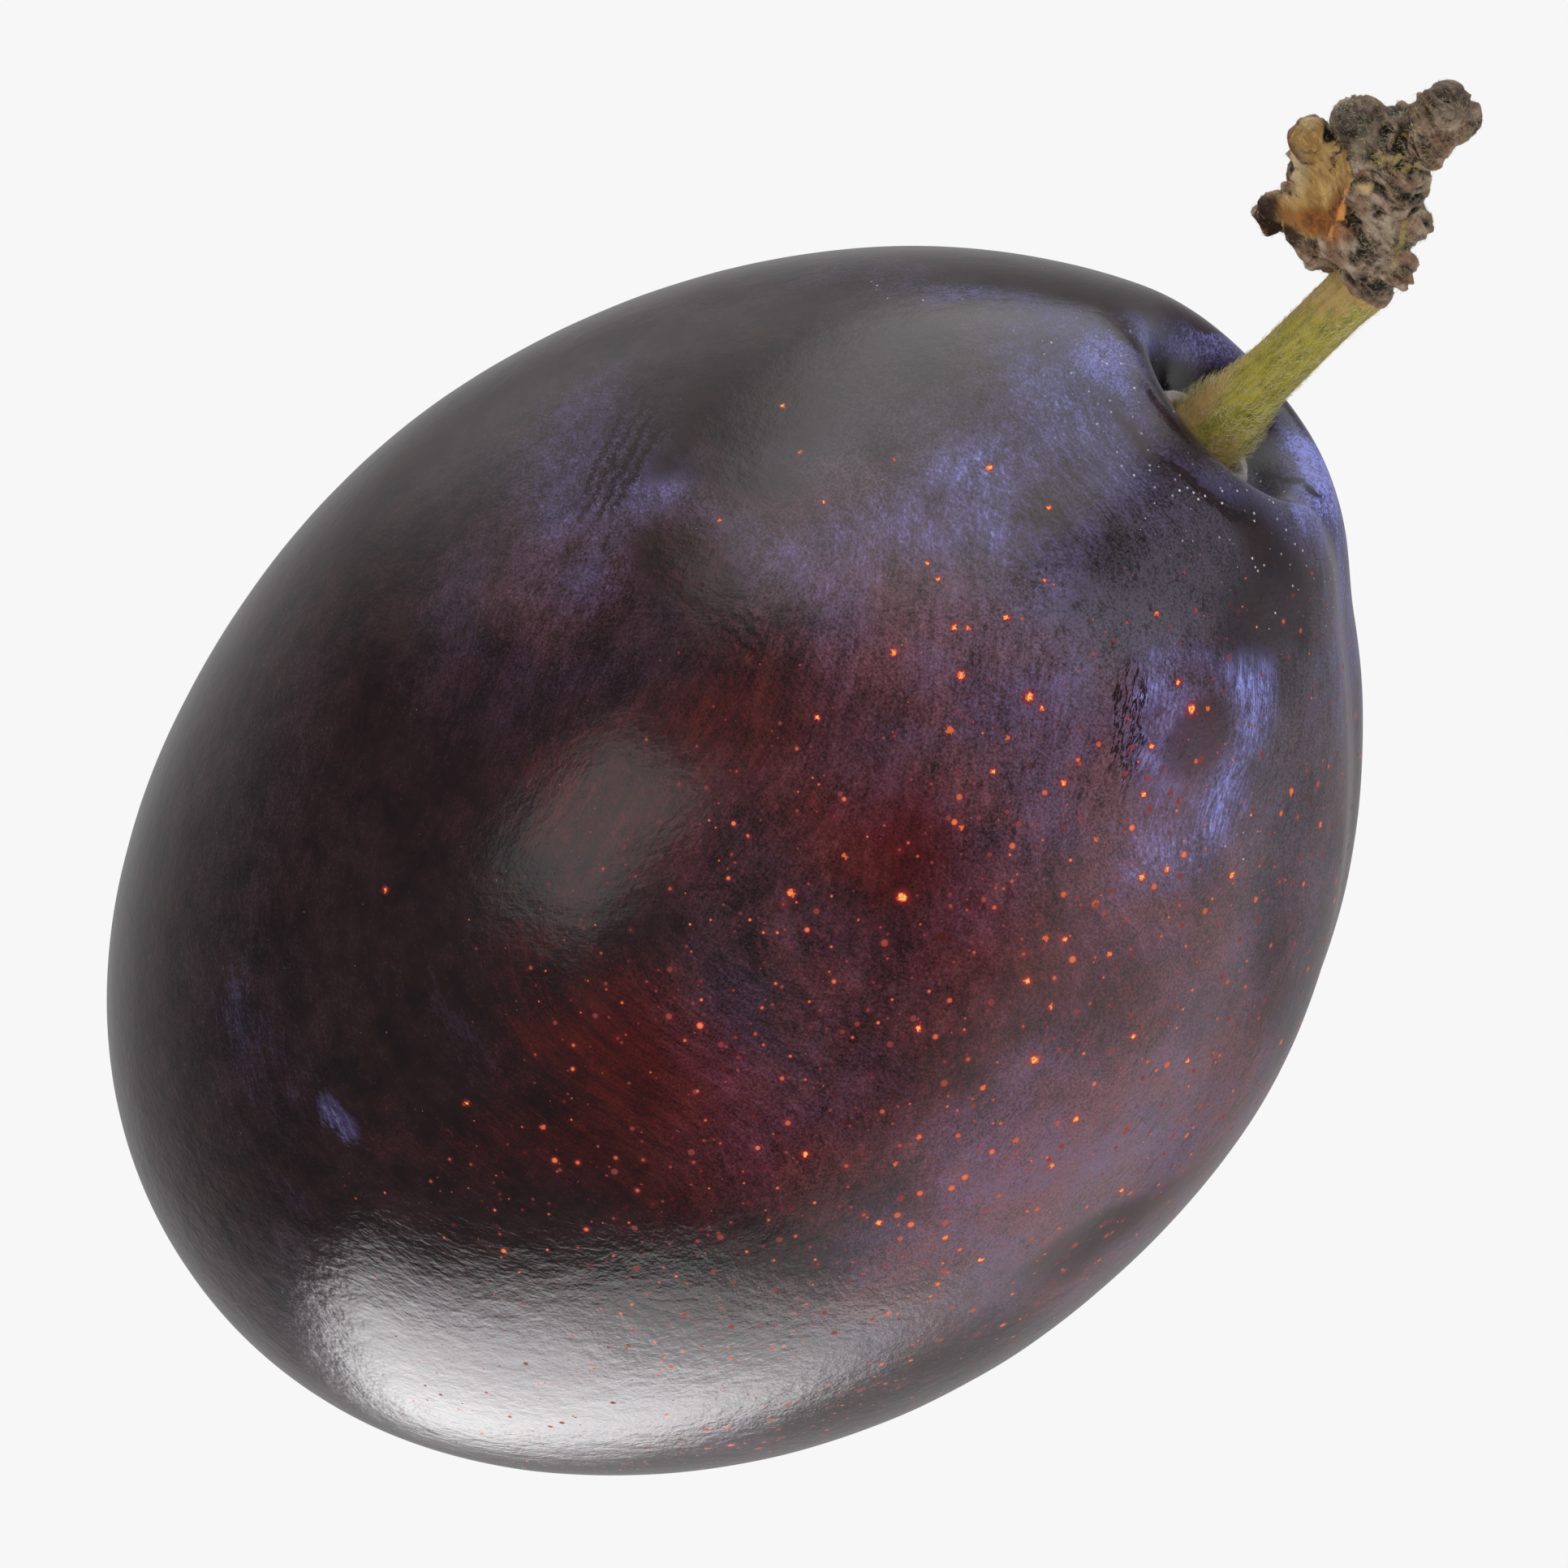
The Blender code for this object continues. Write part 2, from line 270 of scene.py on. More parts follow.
def lightWorld():
    world = bpy.data.worlds.new("studio")
    world.use_nodes = True
    bpy.context.scene.world = world
    world.node_tree.nodes.clear()
    add = partial(addNode, world.node_tree)
    look = add("TexCoord", out="Generated")
    # the low panels end where the table would hide them from the fruit's far side
    behind = add("dot", look, viewBack.tolist())
    clear = add("fade", behind, lights["hiddenFrom"], lights["clearFrom"])
    total = add("fade", add("SeparateXYZ", look, out="Z"), 0.25, -0.7, lights["gloom"], lights["offPaper"])
    for panel in panels.values():
        # a panel's shape: a soft-edged rectangle on the plane that touches its own direction
        middle = direction(panel["azimuth"], panel["elevation"])
        beside = Vector((0, 0, 1)).cross(middle).normalized()
        over = middle.cross(beside)
        c, s = math.cos(math.radians(panel.get("tilt", 0))), math.sin(math.radians(panel.get("tilt", 0)))
        beside, over = beside * c + over * s, over * c - beside * s
        ahead = add("dot", look, middle)
        front = add("most", ahead, 0.05)
        mask = add("Math GREATER_THAN", ahead, 0.05)
        if panel.get("low"):
            mask = add("times", mask, clear)
        for axis, half in ((beside, panel["halfWide"]), (over, panel["halfHigh"])):
            off = add("Math ABSOLUTE", add("over", add("dot", look, axis), front))
            edge, soft = math.tan(math.radians(half)), panel["soft"] / 2
            mask = add("times", mask, add("fade", off, edge * (1 - soft), edge * (1 + soft), 1.0, 0.0))
        total = add("Math MULTIPLY_ADD", mask, panel["strength"], total)
    # the camera sees plain paper where the fruit's gloss sees the studio
    paper = add("Background", (lights["paper"],) * 3 + (1,), 1.0)
    studio = add("Background", total, 1.0)
    add("OutputWorld", add("MixShader", add("LightPath", out="Is Camera Ray"), studio, paper))


def addFill(name, azimuth, elevation, size, watts):
    # a large soft light that only brightens matt surfaces
    data = bpy.data.lights.new(name, "AREA")
    data.shape = "SQUARE"
    data.size = size
    data.energy = watts
    lamp = bpy.data.objects.new(name, data)
    toLamp = direction(azimuth, elevation)
    lamp.location = toLamp * 0.5
    lamp.rotation_mode = "QUATERNION"
    lamp.rotation_quaternion = toLamp.to_track_quat("Z", "Y")
    lamp.visible_glossy = False
    lamp.visible_camera = False
    bpy.context.scene.collection.objects.link(lamp)


lightWorld()
addFill("top fill", 60, 75, 0.4, lights["topFill"])
addFill("right fill", -60, 25, 0.4, lights["rightFill"])
addFill("left fill", 150, 40, 0.4, lights["leftFill"])

# white paper lit so brightly that no shadow shows on it
floorPaper = bpy.data.materials.new("pale paper floor")
floorPaper.use_nodes = True
floorPaper.node_tree.nodes.clear()
glow = addNode(floorPaper.node_tree, "Emission", (1, 1, 1, 1), lights["paper"])
addNode(floorPaper.node_tree, "OutputMaterial", glow)
floor = makeObject("floor", [(-2, -2, 0), (2, -2, 0), (2, 2, 0), (-2, 2, 0)], [(0, 1, 2, 3)], floorPaper)
floor.visible_glossy = False
floor.visible_shadow = False
bpy.context.scene.view_settings.view_transform = "Standard"
print("light set")


# Fruit
fruit = dict(
    halfWidth=21.2, halfThickness=20.7, tipReach=27.45, stemReach=29.9, stemTaper=0.70, endLean=0.6,
    twoLobed=0.13, threeLobed=0.1,
    hollowDepth=6.4, hollowRadius=3.3, hollowSteepness=3, hollowWider=0.15, crestRadius=4.7, mouthReach=8,
    roundWithin=3.2, roundFade=3, socketRadius=2.75, socketFloor=23.3,
    sutureAngle=math.radians(190), sutureDepth=0.22, sutureWidth=1.5, notchDepth=0.75, notchWidth=1.0,
    tipDimple=0.35, tipDimpleWidth=1.3,
    pictureSwells=((-1.6, -3.3), (2.2, -0.9), (-2.4, -1.9), (1.7, 0), (3, 1.2), (2.2, -1.8)),
    shoulderSwells=((26, 8, -0.28), (44, 8, 0.13)),
    ringSpacing=0.34, hollowSpacing=0.17, segments=300,
)
form = SimpleNamespace(**fruit)


def outerX(rho):
    # the stem end's skin along the axis at a distance from it, before the hollow: a pointed ellipse
    return form.stemReach * np.sqrt(1 - (rho / form.halfWidth) ** (1 / form.stemTaper))


def hollowDrop(rho, radius):
    # how far the hollow lowers it: a bell with a flat middle and steep flanks
    return form.hollowDepth * np.exp(-((rho / radius) ** form.hollowSteepness))


def outline():
    # (x, distance from the axis) from the floor of the stem's socket, over the rim and the body, to the tip
    socket = [(form.socketFloor, 0.02), (form.socketFloor, form.socketRadius - 0.2),
              (form.socketFloor + 0.3, form.socketRadius)]
    rho = np.linspace(form.socketRadius, form.mouthReach, 200)
    hollow = np.column_stack([outerX(rho) - hollowDrop(rho, form.hollowRadius), rho])
    x = np.linspace(outerX(form.mouthReach), 0, 400)[1:]
    shoulder = np.column_stack([x, form.halfWidth * (1 - (x / form.stemReach) ** 2) ** form.stemTaper])
    turn = np.linspace(0, math.pi / 2, 500)[1:]
    tip = np.column_stack([-form.tipReach * np.sin(turn), form.halfWidth * np.cos(turn)])
    line = np.vstack([socket, hollow, shoulder, tip])
    step = np.hypot(*np.diff(line, axis=0).T)
    middle = (line[1:] + line[:-1]) / 2
    body = np.where(middle[:, 0] < 0, 1, smoothStep(middle[:, 1], 6, 12))
    spacing = form.hollowSpacing + (form.ringSpacing - form.hollowSpacing) * body
    along = np.concatenate([[0], np.cumsum(step / spacing)])
    wanted = np.linspace(0, along[-1] - 0.6, round(along[-1]))
    return np.column_stack([np.interp(wanted, along, line[:, k]) for k in (0, 1)])


def skinPoints(x, rho, angle):
    # a turned outline made lopsided: two and three low swells round it, a groove along the suture, ends that
    # lean, a hollow wider below than above, a notch in its rim at the groove, a dimple at the tip
    away = (angle - form.sutureAngle + math.pi) % (2 * math.pi) - math.pi
    across = np.where(np.cos(away) > 0, rho * np.sin(away), 1e3)
    onBody = np.clip((rho - form.roundWithin) / form.roundFade, 0, 1)
    deeper = 1 + 0.8 * (x / form.tipReach) ** 2  # towards both ends
    groove = form.sutureDepth * deeper * np.exp(-((across / form.sutureWidth) ** 2))
    swell = form.twoLobed * np.sin(2 * angle + 0.16 * x) + form.threeLobed * np.sin(3 * angle - 0.21 * x + 1)
    wide = rho + onBody * (swell * rho / form.halfWidth - groove)
    thin = 1 - (1 - form.halfThickness / form.halfWidth) * onBody
    lean = form.endLean * ((x / form.tipReach) ** 2 - 0.25)
    lean = np.where(x < 0, lean, lean * onBody)
    rim = np.exp(-(((rho - form.crestRadius) / 1.5) ** 2))
    notch = form.notchDepth * rim * np.exp(-((across / form.notchWidth) ** 2))
    wider = form.hollowRadius * (1 + form.hollowWider * ((1 - np.sin(angle)) / 2) ** 2)
    wallTop = outerX(form.socketRadius) - hollowDrop(form.socketRadius, form.hollowRadius)
    wallFoot = form.socketFloor + 0.3
    share = np.where(rho < form.mouthReach, np.clip((x - wallFoot) / (wallTop - wallFoot), 0, 1), 0)
    towardsStem = x - notch - share * (hollowDrop(rho, wider) - hollowDrop(rho, form.hollowRadius))
    towardsTip = x + form.tipDimple * np.exp(-((rho / form.tipDimpleWidth) ** 2))
    return np.stack([np.where(x < 0, towardsTip, towardsStem), wide * np.cos(angle) + lean,
                     wide * np.sin(angle) * thin], -1)


# Marks on the skin, each at the photograph's pixel where it shows: place, half length, half width, turn in
# degrees anticlockwise from the picture's right, strength
bloomPatches = (
    (735, 525, 85, 48, 65, 0.32), (806, 602, 66, 40, 30, 0.26), (800, 590, 80, 34, 20, 0.14),
    (715, 690, 50, 70, 10, 0.14), (945, 655, 90, 26, -14, 0.12), (1000, 715, 80, 40, 20, 0.06),
    (1075, 648, 105, 34, 28, 0.15), (1010, 705, 70, 44, 30, 0.12), (1330, 660, 90, 50, 0, 0.12),
    (1150, 655, 90, 28, 0, 0.32), (1190, 700, 190, 60, 5, 0.16), (1160, 570, 70, 34, 25, 0.22),
    (1215, 590, 60, 34, 10, 0.34), (1240, 540, 90, 60, 30, 0.2), (1290, 450, 130, 50, -60, 0.27),
    (1345, 425, 80, 24, -50, 0.12), (1400, 440, 40, 60, 20, 0.16), (1340, 540, 130, 50, -60, 0.15),
    (1450, 610, 130, 40, -38, 0.2), (1400, 500, 70, 26, -55, 0.22), (1320, 380, 60, 24, -30, 0.32),
    (1440, 390, 90, 20, -30, 0.16), (1240, 780, 130, 90, 60, 0.14), (1540, 625, 80, 14, -34, 0.4),
    # (1672, 760) below is a thin strip along the right edge: painted sheen of the grazing rim, in the bloom's
    # colour
    (1606, 560, 90, 34, -65, 0.95), (1672, 760, 150, 14, -84, 0.5), (1640, 800, 80, 20, 85, 0.5),
    (1590, 690, 60, 24, 70, 0.25), (1485, 806, 76, 20, 4, 0.42), (1545, 866, 28, 66, 14, 0.75),
    (1470, 846, 60, 24, 10, 0.3), (1418, 900, 80, 34, 82, 0.6), (1455, 1015, 100, 44, 40, 0.46),
    (1505, 985, 70, 30, 70, 0.48), (1440, 1080, 80, 40, 20, 0.3), (1110, 347, 150, 16, 0, 0.18),
    (1185, 352, 50, 14, -5, 0.3), (1265, 870, 60, 36, 30, 0.2), (1300, 760, 120, 50, 80, 0.1),
    (1350, 900, 60, 110, 10, 0.14), (320, 1310, 90, 46, -60, 0.17), (570, 1270, 85, 30, -50, 0.15),
    (290, 1225, 50, 24, -60, 0.2), (710, 730, 150, 80, 60, 0.12), (630, 640, 80, 60, 60, 0.06),
    (1460, 425, 90, 34, 12, 0.64), (1450, 545, 60, 20, -40, 0.2), (1520, 590, 70, 22, -35, 0.2),
    (1230, 480, 130, 50, -55, 0.12), (780, 660, 150, 90, 0, 0.06), (1400, 1410, 80, 30, 30, 0.24),
    (1250, 1530, 110, 30, 30, 0.14), (360, 1500, 60, 26, -45, 0.16),
)
hazePatches = (
    (1140, 760, 200, 130, 80, 0.42), (1290, 870, 120, 150, 80, 0.48), (1440, 930, 130, 180, 20, 0.68),
    (1440, 1150, 90, 80, 0, 0.22), (1060, 740, 120, 60, 0, 0.2), (1260, 1050, 80, 90, 0, 0.2),
    (1430, 1390, 220, 130, 52, 0.73), (1290, 1060, 130, 110, 0, 0.3), (1230, 1490, 230, 90, 36, 0.8),
    (1560, 1180, 240, 60, 75, 0.1), (1040, 1600, 240, 70, 18, 0.08), (850, 680, 230, 110, 20, 0.3),
    # the patch at (640, 1690) below, low by the tip, also lightens the skin where the gloss is brightest:
    # painted highlight as well as haze
    (680, 600, 170, 100, 50, 0.26), (1250, 525, 250, 110, -8, 0.26), (640, 1690, 300, 80, -15, 0.5),
    (300, 1000, 380, 80, 75, 0.14), (330, 1340, 200, 90, 70, 0.07), (950, 1440, 160, 50, -20, 0.16),
    (930, 500, 190, 80, 20, 0.1), (1200, 900, 70, 70, 0, 0.15), (1625, 900, 240, 50, 86, 0.55),
    (640, 820, 120, 130, 30, 0.12), (1440, 700, 170, 90, 30, 0.55), (1060, 1220, 160, 100, -10, 0.3),
    (1040, 1400, 120, 70, 0, 0.12), (980, 1330, 170, 70, -20, 0.28), (1000, 350, 330, 30, 8, 0.2),
    (960, 1010, 150, 100, 30, 0.16), (1310, 1230, 150, 110, 40, 0.18),
)
redPatches = (
    (1090, 1030, 85, 60, 10, 0.75), (960, 975, 200, 150, 20, 0.45), (720, 1020, 110, 110, 0, 0.35),
    (1050, 1300, 130, 120, 0, 0.35), (800, 1290, 180, 65, -30, 0.7), (1175, 1060, 100, 60, 0, 0.3),
    (665, 1268, 40, 30, 0, 0.2), (720, 1350, 130, 60, -20, 0.35), (846, 700, 80, 50, -30, 0.35),
    (1010, 860, 220, 120, 10, 0.36), (1350, 1250, 220, 140, 60, 0.55), (1180, 1180, 170, 90, 0, 0.5),
    (1250, 1130, 130, 90, 0, 0.3), (740, 1440, 260, 70, -12, 0.4), (1080, 1400, 190, 100, 0, 0.45),
    (1500, 1150, 90, 200, 0, 0.28), (1300, 1500, 260, 90, 36, 0.3), (1300, 880, 120, 160, 0, 0.3),
)
barePatches = (
    (846, 705, 74, 50, -28, 0.5), (1450, 690, 150, 74, 28, 0.2), (1330, 1540, 80, 20, 32, 0.5),
    (1400, 1490, 120, 16, 34, 0.5), (930, 500, 80, 60, 0, 0.8), (830, 560, 50, 16, 50, 0.5),
    (1560, 750, 70, 40, 60, 0.5), (900, 590, 110, 20, -10, 0.4), (1350, 700, 80, 14, 60, 0.12),
    (1500, 372, 110, 22, -33, 0.9), (1300, 345, 140, 20, -14, 0.8), (1560, 660, 60, 22, -50, 0.5),
)
# where cream flecks of dry wax lie close together
fleckPatches = (
    (1400, 520, 170, 80, -45, 0.8), (1545, 640, 110, 50, -35, 0.9), (1518, 1045, 44, 36, 0, 1.0),
    (1590, 720, 60, 60, 0, 0.4), (1110, 350, 140, 16, 0, 0.5), (1180, 600, 160, 60, 0, 0.25),
    (1570, 900, 30, 90, 0, 0.3),
)
# where the haze is cool grey instead of wine red
coolPatches = (
    (1120, 450, 330, 130, 5, 1.0), (1450, 670, 220, 130, 30, 1.2), (700, 480, 260, 150, 40, 0.5),
    (1600, 850, 60, 240, 0, 0.7), (350, 1200, 160, 300, 0, 1.0), (330, 1450, 180, 200, 0, 1.0),
    # the patch at (640, 1680) below greys that painted highlight
    (640, 1680, 300, 90, -15, 0.5),
)
# a cheek that nothing has rubbed
calmPatches = ((1640, 700, 60, 160, 0, 1.0),)
# marks with sharper edges: thick bloom, rubbed bare, and painted shade in the hollow's gaps and along creases
sharpBloom = (
    (1470, 425, 50, 12, 12, 0.34), (1612, 570, 56, 14, -66, 1.0), (1550, 862, 20, 50, 14, 0.4),
    (416, 1378, 42, 18, -50, 0.44), (1595, 640, 60, 6, -42, 0.5), (1410, 462, 46, 16, 80, 0.45),
    # (1660, 730) below is a strip of the same painted rim sheen
    (1500, 812, 46, 9, 5, 0.2), (1415, 940, 9, 60, 0, 0.35), (1660, 730, 150, 10, -84, 0.4),
)
sharpBare = (
    (1476, 908, 58, 34, 62, 0.36, 0.85), (848, 702, 80, 46, -32, 0.65, 0.6), (1370, 396, 60, 10, -44, 1.0),
    (1424, 455, 40, 7, -58, 1.0), (1470, 392, 70, 10, -24, 0.9), (1462, 588, 60, 7, -40, 1.0),
    (1530, 640, 60, 8, -30, 0.9), (1500, 612, 120, 26, -36, 0.4, 0.1), (1400, 540, 90, 12, -55, 0.5, 0.1),
)
# groups of thin curved strokes: place, half length, half width, turn, spacing and wander
strokedMarks = (
    (850, 700, 85, 50, -38, 13, 3.5), (765, 565, 95, 40, 62, 15, 3), (900, 760, 70, 30, -50, 14, 4),
    (1390, 890, 90, 26, 87, 10, 1.5),
)
# painted shade: dark patches deep in the hollow, between the stem's foot ring and its wall
paintedShadeMarks = ((1444, 462, 26, 24, 0, 1.0), (1470, 478, 34, 12, 20, 0.8), (1546, 566, 22, 14, 30, 0.95))
scuffedSpot = (930, 495, 80, 56, 0, 0.14, 0.3)
# painted shade: dark lines along the creases in the hollow's rim
paintedCreaseShade = ((1552, 583, 30, 4.5, -14, 1.0), (1593, 592, 20, 4.5, -5, 1.0), (1616, 604, 18, 4, -40, 1.0),
           (1396, 424, 34, 3, -48, 0.8))
# where rubbing ran another way than up the picture: place, reach, turn in degrees
sweeps = (
    (780, 560, 190, 30), (1480, 960, 130, -35), (820, 1330, 260, 50), (1350, 1400, 260, -38),
    (1420, 600, 150, 40), (1000, 600, 90, 40), (500, 1400, 260, 35),
)
bigDots = (
    (958, 497, 4), (990, 556, 3), (1104, 565, 4), (1223, 579, 6), (1019, 623, 3), (891, 641, 4),
    (1291, 626, 4),
    (1158, 717, 4), (1284, 715, 4), (1141, 690, 4), (1244, 757, 5), (1177, 775, 6), (1193, 771, 5),
    (1096, 802, 6),
    (1183, 831, 7), (1265, 855, 8), (1284, 875, 5), (1172, 901, 8), (999, 882, 4), (1240, 904, 4),
    (1331, 936, 5),
    (1222, 944, 5), (1312, 968, 6), (1183, 1015, 5), (1412, 982, 6), (1425, 757, 5), (1451, 841, 5),
    (1470, 876, 9),
    (1487, 873, 5), (1472, 940, 5), (1416, 918, 5), (1352, 1032, 5), (1439, 1069, 6), (1408, 1085, 7),
    (1304, 1104, 6),
    (1350, 1114, 6), (973, 1104, 8), (1110, 1104, 9), (1518, 1077, 7), (1591, 971, 7), (1625, 1014, 7),
    (1550, 1104, 6),
    (1273, 1304, 9), (1128, 1263, 6), (1329, 1379, 7), (1299, 1440, 6), (1381, 1465, 6), (1283, 1155, 6),
    (1307, 1160, 6), (1370, 1178, 6), (1292, 1237, 6), (1395, 1271, 6), (1464, 1310, 6), (1255, 1409, 6),
    (1129, 1399, 5), (997, 1427, 6), (1097, 1435, 5), (1208, 1549, 6), (1155, 1580, 6), (1164, 1520, 6),
    (1083, 1513, 6), (1268, 1208, 7), (1036, 1052, 5), (480, 1097, 5), (665, 1384, 6), (571, 1357, 5),
)


def ovalDistance(seenX, seenY, px, py, halfLong, halfWide, turn):
    # 0 in the middle of a turned oval in the picture, 1 on its edge
    c, s = math.cos(math.radians(turn)), math.sin(math.radians(turn))
    dx, dy = seenX - px, py - seenY
    return np.hypot((dx * c + dy * s) / halfLong, (dy * c - dx * s) / halfWide)


def patchField(seenX, seenY, patches, wobble):
    # the patches at each vertex, each full in its middle and gone well outside, with an uneven edge; where
    # they overlap a later one adds less
    field = np.zeros(len(seenX))
    for *oval, strength in patches:
        added = strength * (1 - smoothStep(ovalDistance(seenX, seenY, *oval) + wobble, 0.1, 1.9))
        field = field + added * (1 - 0.75 * np.clip(field, 0, 1))
    return field


def strokePlace(points, seenX, seenY):
    # coordinates for the rubbed strokes, across, along and deep, in mm: the camera's own axes, bent by
    # smooth noise and turned within each sweep
    bent = points + 0.9 * np.stack([lumps(points, 8, seed) for seed in (81, 82, 83)], -1)
    across, along, deep = bent @ viewRight, bent @ viewUp, bent @ viewBack
    for px, py, reach, turn in sweeps:
        weight = np.exp(-((seenX - px) ** 2 + (seenY - py) ** 2) / reach ** 2)
        across = across + weight * math.tan(math.radians(turn)) * (py - seenY) * mmPerPixel
    return np.stack([across, along, deep], -1)


def makeFruit(material):
    line = outline()
    rows, columns = len(line), fruit["segments"]
    # twice as close round the groove as away from it
    around = np.arange(columns) / columns * 2 * math.pi
    angles = around + fruit["sutureAngle"] - 0.35 * np.sin(around)
    ring, angle = np.meshgrid(np.arange(rows), angles, indexing="ij")
    points = skinPoints(line[ring, 0], line[ring, 1], angle)
    ends = [skinPoints(np.array(x), np.array(0.0), np.array(0.0)) for x in (form.socketFloor, -form.tipReach)]
    every, faces = closedGrid(points, *ends, rows, columns)
    outward = every / np.linalg.norm(every, axis=1, keepdims=True)
    # slight lopsidedness in the picture's plane: one to five swells round it, in thousandths of the radius
    aside, above = every @ viewRight, every @ viewUp
    turn = np.arctan2(above, aside)
    pairs = enumerate(form.pictureSwells, 1)
    swell = sum(c * np.cos(k * turn) + s * np.sin(k * turn) for k, (c, s) in pairs) - 0.8
    swell *= 0.001 * np.clip(np.hypot(aside, above) / 21, 0, 1) ** 2 * (1 - smoothStep(every[:, 0], 18, 24))
    every = every + swell[:, None] * (aside[:, None] * viewRight + above[:, None] * viewUp)
    # and two on the shoulders by the hollow: bearing and width in degrees, height
    bearing = np.degrees(turn)
    shoulder = sum(high * np.exp(-(((bearing - at) / wide) ** 2)) for at, wide, high in form.shoulderSwells)
    offAxis = smoothStep(np.hypot(every[:, 1], every[:, 2]), 6.5, 10)
    shoulder *= np.clip(np.hypot(aside, above) / 23, 0, 1) ** 2 * offAxis
    every = every + shoulder[:, None] * (np.cos(turn)[:, None] * viewRight + np.sin(turn)[:, None] * viewUp)
    # slight unevenness of the flesh under the skin
    every = every + outward * (0.03 * lumps(every, 6, 3) + 0.012 * lumps(every, 2.2, 4))[:, None]
    every[:, 2] = np.maximum(every[:, 2], -restHeight)
    made = makeObject("plum_skin", inMetres(every), faces, material)
    seenX, seenY = onPhoto(every)
    normals = np.zeros(len(every) * 3, np.float32)
    made.data.vertex_normals.foreach_get("vector", normals)
    normals = normals.reshape(-1, 3)
    facing = (normals * (eye - every)).sum(axis=1) / view["distance"]
    near = smoothStep(facing, -0.1, 0.12)
    back = 1 - near
    # patches get uneven outlines: their places are shaken by smooth noise, coarse and fine
    warpX = seenX + 26 * lumps(every, 3.2, 11) + 10 * lumps(every, 1.1, 12)
    warpY = seenY + 26 * lumps(every, 3.2, 17) + 10 * lumps(every, 1.1, 18)
    wobble = 0.25 * lumps(every, 2.2, 19)
    cloud = 0.6 * lumps(every, 11, 13) + 0.4 * lumps(every, 5, 14)
    storeField(made, "bloom", near * patchField(warpX, warpY, bloomPatches, wobble)
               + back * 0.6 * smoothStep(cloud, 0.15, 0.75))
    storeField(made, "haze",
               near * patchField(warpX, warpY, hazePatches, wobble)
               + back * 0.6 * smoothStep(cloud, -0.6, 0.3))
    storeField(made, "red", near * patchField(warpX, warpY, redPatches, wobble)
               + back * 0.6 * smoothStep(0.7 * lumps(every, 12, 15) + 0.3 * lumps(every, 4, 16), 0.2, 0.8))
    steady = 0.4 * warpX + 0.6 * seenX, 0.4 * warpY + 0.6 * seenY
    storeField(made, "bare", near * patchField(*steady, barePatches, wobble * 0.3))
    storeField(made, "cool",
               near * patchField(warpX, warpY, coolPatches, wobble) + back * smoothStep(cloud, -0.3, 0.4))
    # in the hollow and on the cheek beside it nothing has rubbed the bloom into strokes
    calm = (1 - smoothStep(np.hypot(every[:, 1], every[:, 2]), 6, 9)) * smoothStep(every[:, 0], 16, 20)
    storeField(made, "calm", np.maximum(calm, near * patchField(seenX, seenY, calmPatches, 0)))
    # the peel is coarser towards the tip
    peel = 0.4 + 0.6 * smoothStep(seenY - 0.15 * (seenX - 700), 1320, 1600)
    storeField(made, "peel", near * peel + back * 0.7)
    storeField(made, "strokeAt", strokePlace(every, seenX, seenY))
    storeField(made, "seenAt", np.stack([seenX, -seenY, 9999 * back], -1))
    # pores crowd towards the tip, the low side and the far cheek, and are rare round the stem and on the left
    crowd = 0.22 + 0.78 * smoothStep(seenY + 0.45 * seenX, 950, 1900)
    crowd *= (0.25 + 0.75 * smoothStep(seenX, 250, 900)) * (0.3 + 0.7 * smoothStep(seenY, 420, 800))
    storeField(made, "crowd", near * crowd + back * (0.5 + 0.3 * lumps(every, 7, 20)))
    storeField(made, "flecks", near * (patchField(warpX, warpY, fleckPatches, wobble) + 0.05) + back * 0.15)
    storeDots(made, every, faces, seenX, seenY, near)
    return made


def storeDots(made, every, faces, seenX, seenY, near):
    # every face keeps the way from the nearest dot's middle to each of its corners, and that dot's size and
    # heat
    rng = np.random.default_rng(41)
    middles, sizes, heats = [], [], []
    for px, py, size in bigDots:
        at = np.argmin(np.hypot(seenX - px, seenY - py) + (near < 0.9) * 1e4)
        middles.append(every[at])
        sizes.append(size * mmPerPixel * 0.66)
        heats.append(rng.uniform(0.35, 1))
    middles, sizes, heats = np.array(middles), np.array(sizes), np.array(heats)
    tree = KDTree(len(middles))
    for index, point in enumerate(middles):
        tree.insert(point, index)
    tree.balance()
    counts = np.array([len(face) for face in faces])
    corners = np.fromiter((i for face in faces for i in face), int)
    starts = np.concatenate([[0], np.cumsum(counts)[:-1]])
    centres = np.add.reduceat(every[corners], starts) / counts[:, None]
    nearest = np.array([tree.find(c)[1] for c in centres])
    which = np.repeat(nearest, counts)
    storeField(made, "fromDot", (every[corners] - middles[which]), "CORNER")
    storeField(made, "dotSize", sizes[which], "CORNER")
    storeField(made, "dotHeat", heats[which], "CORNER")


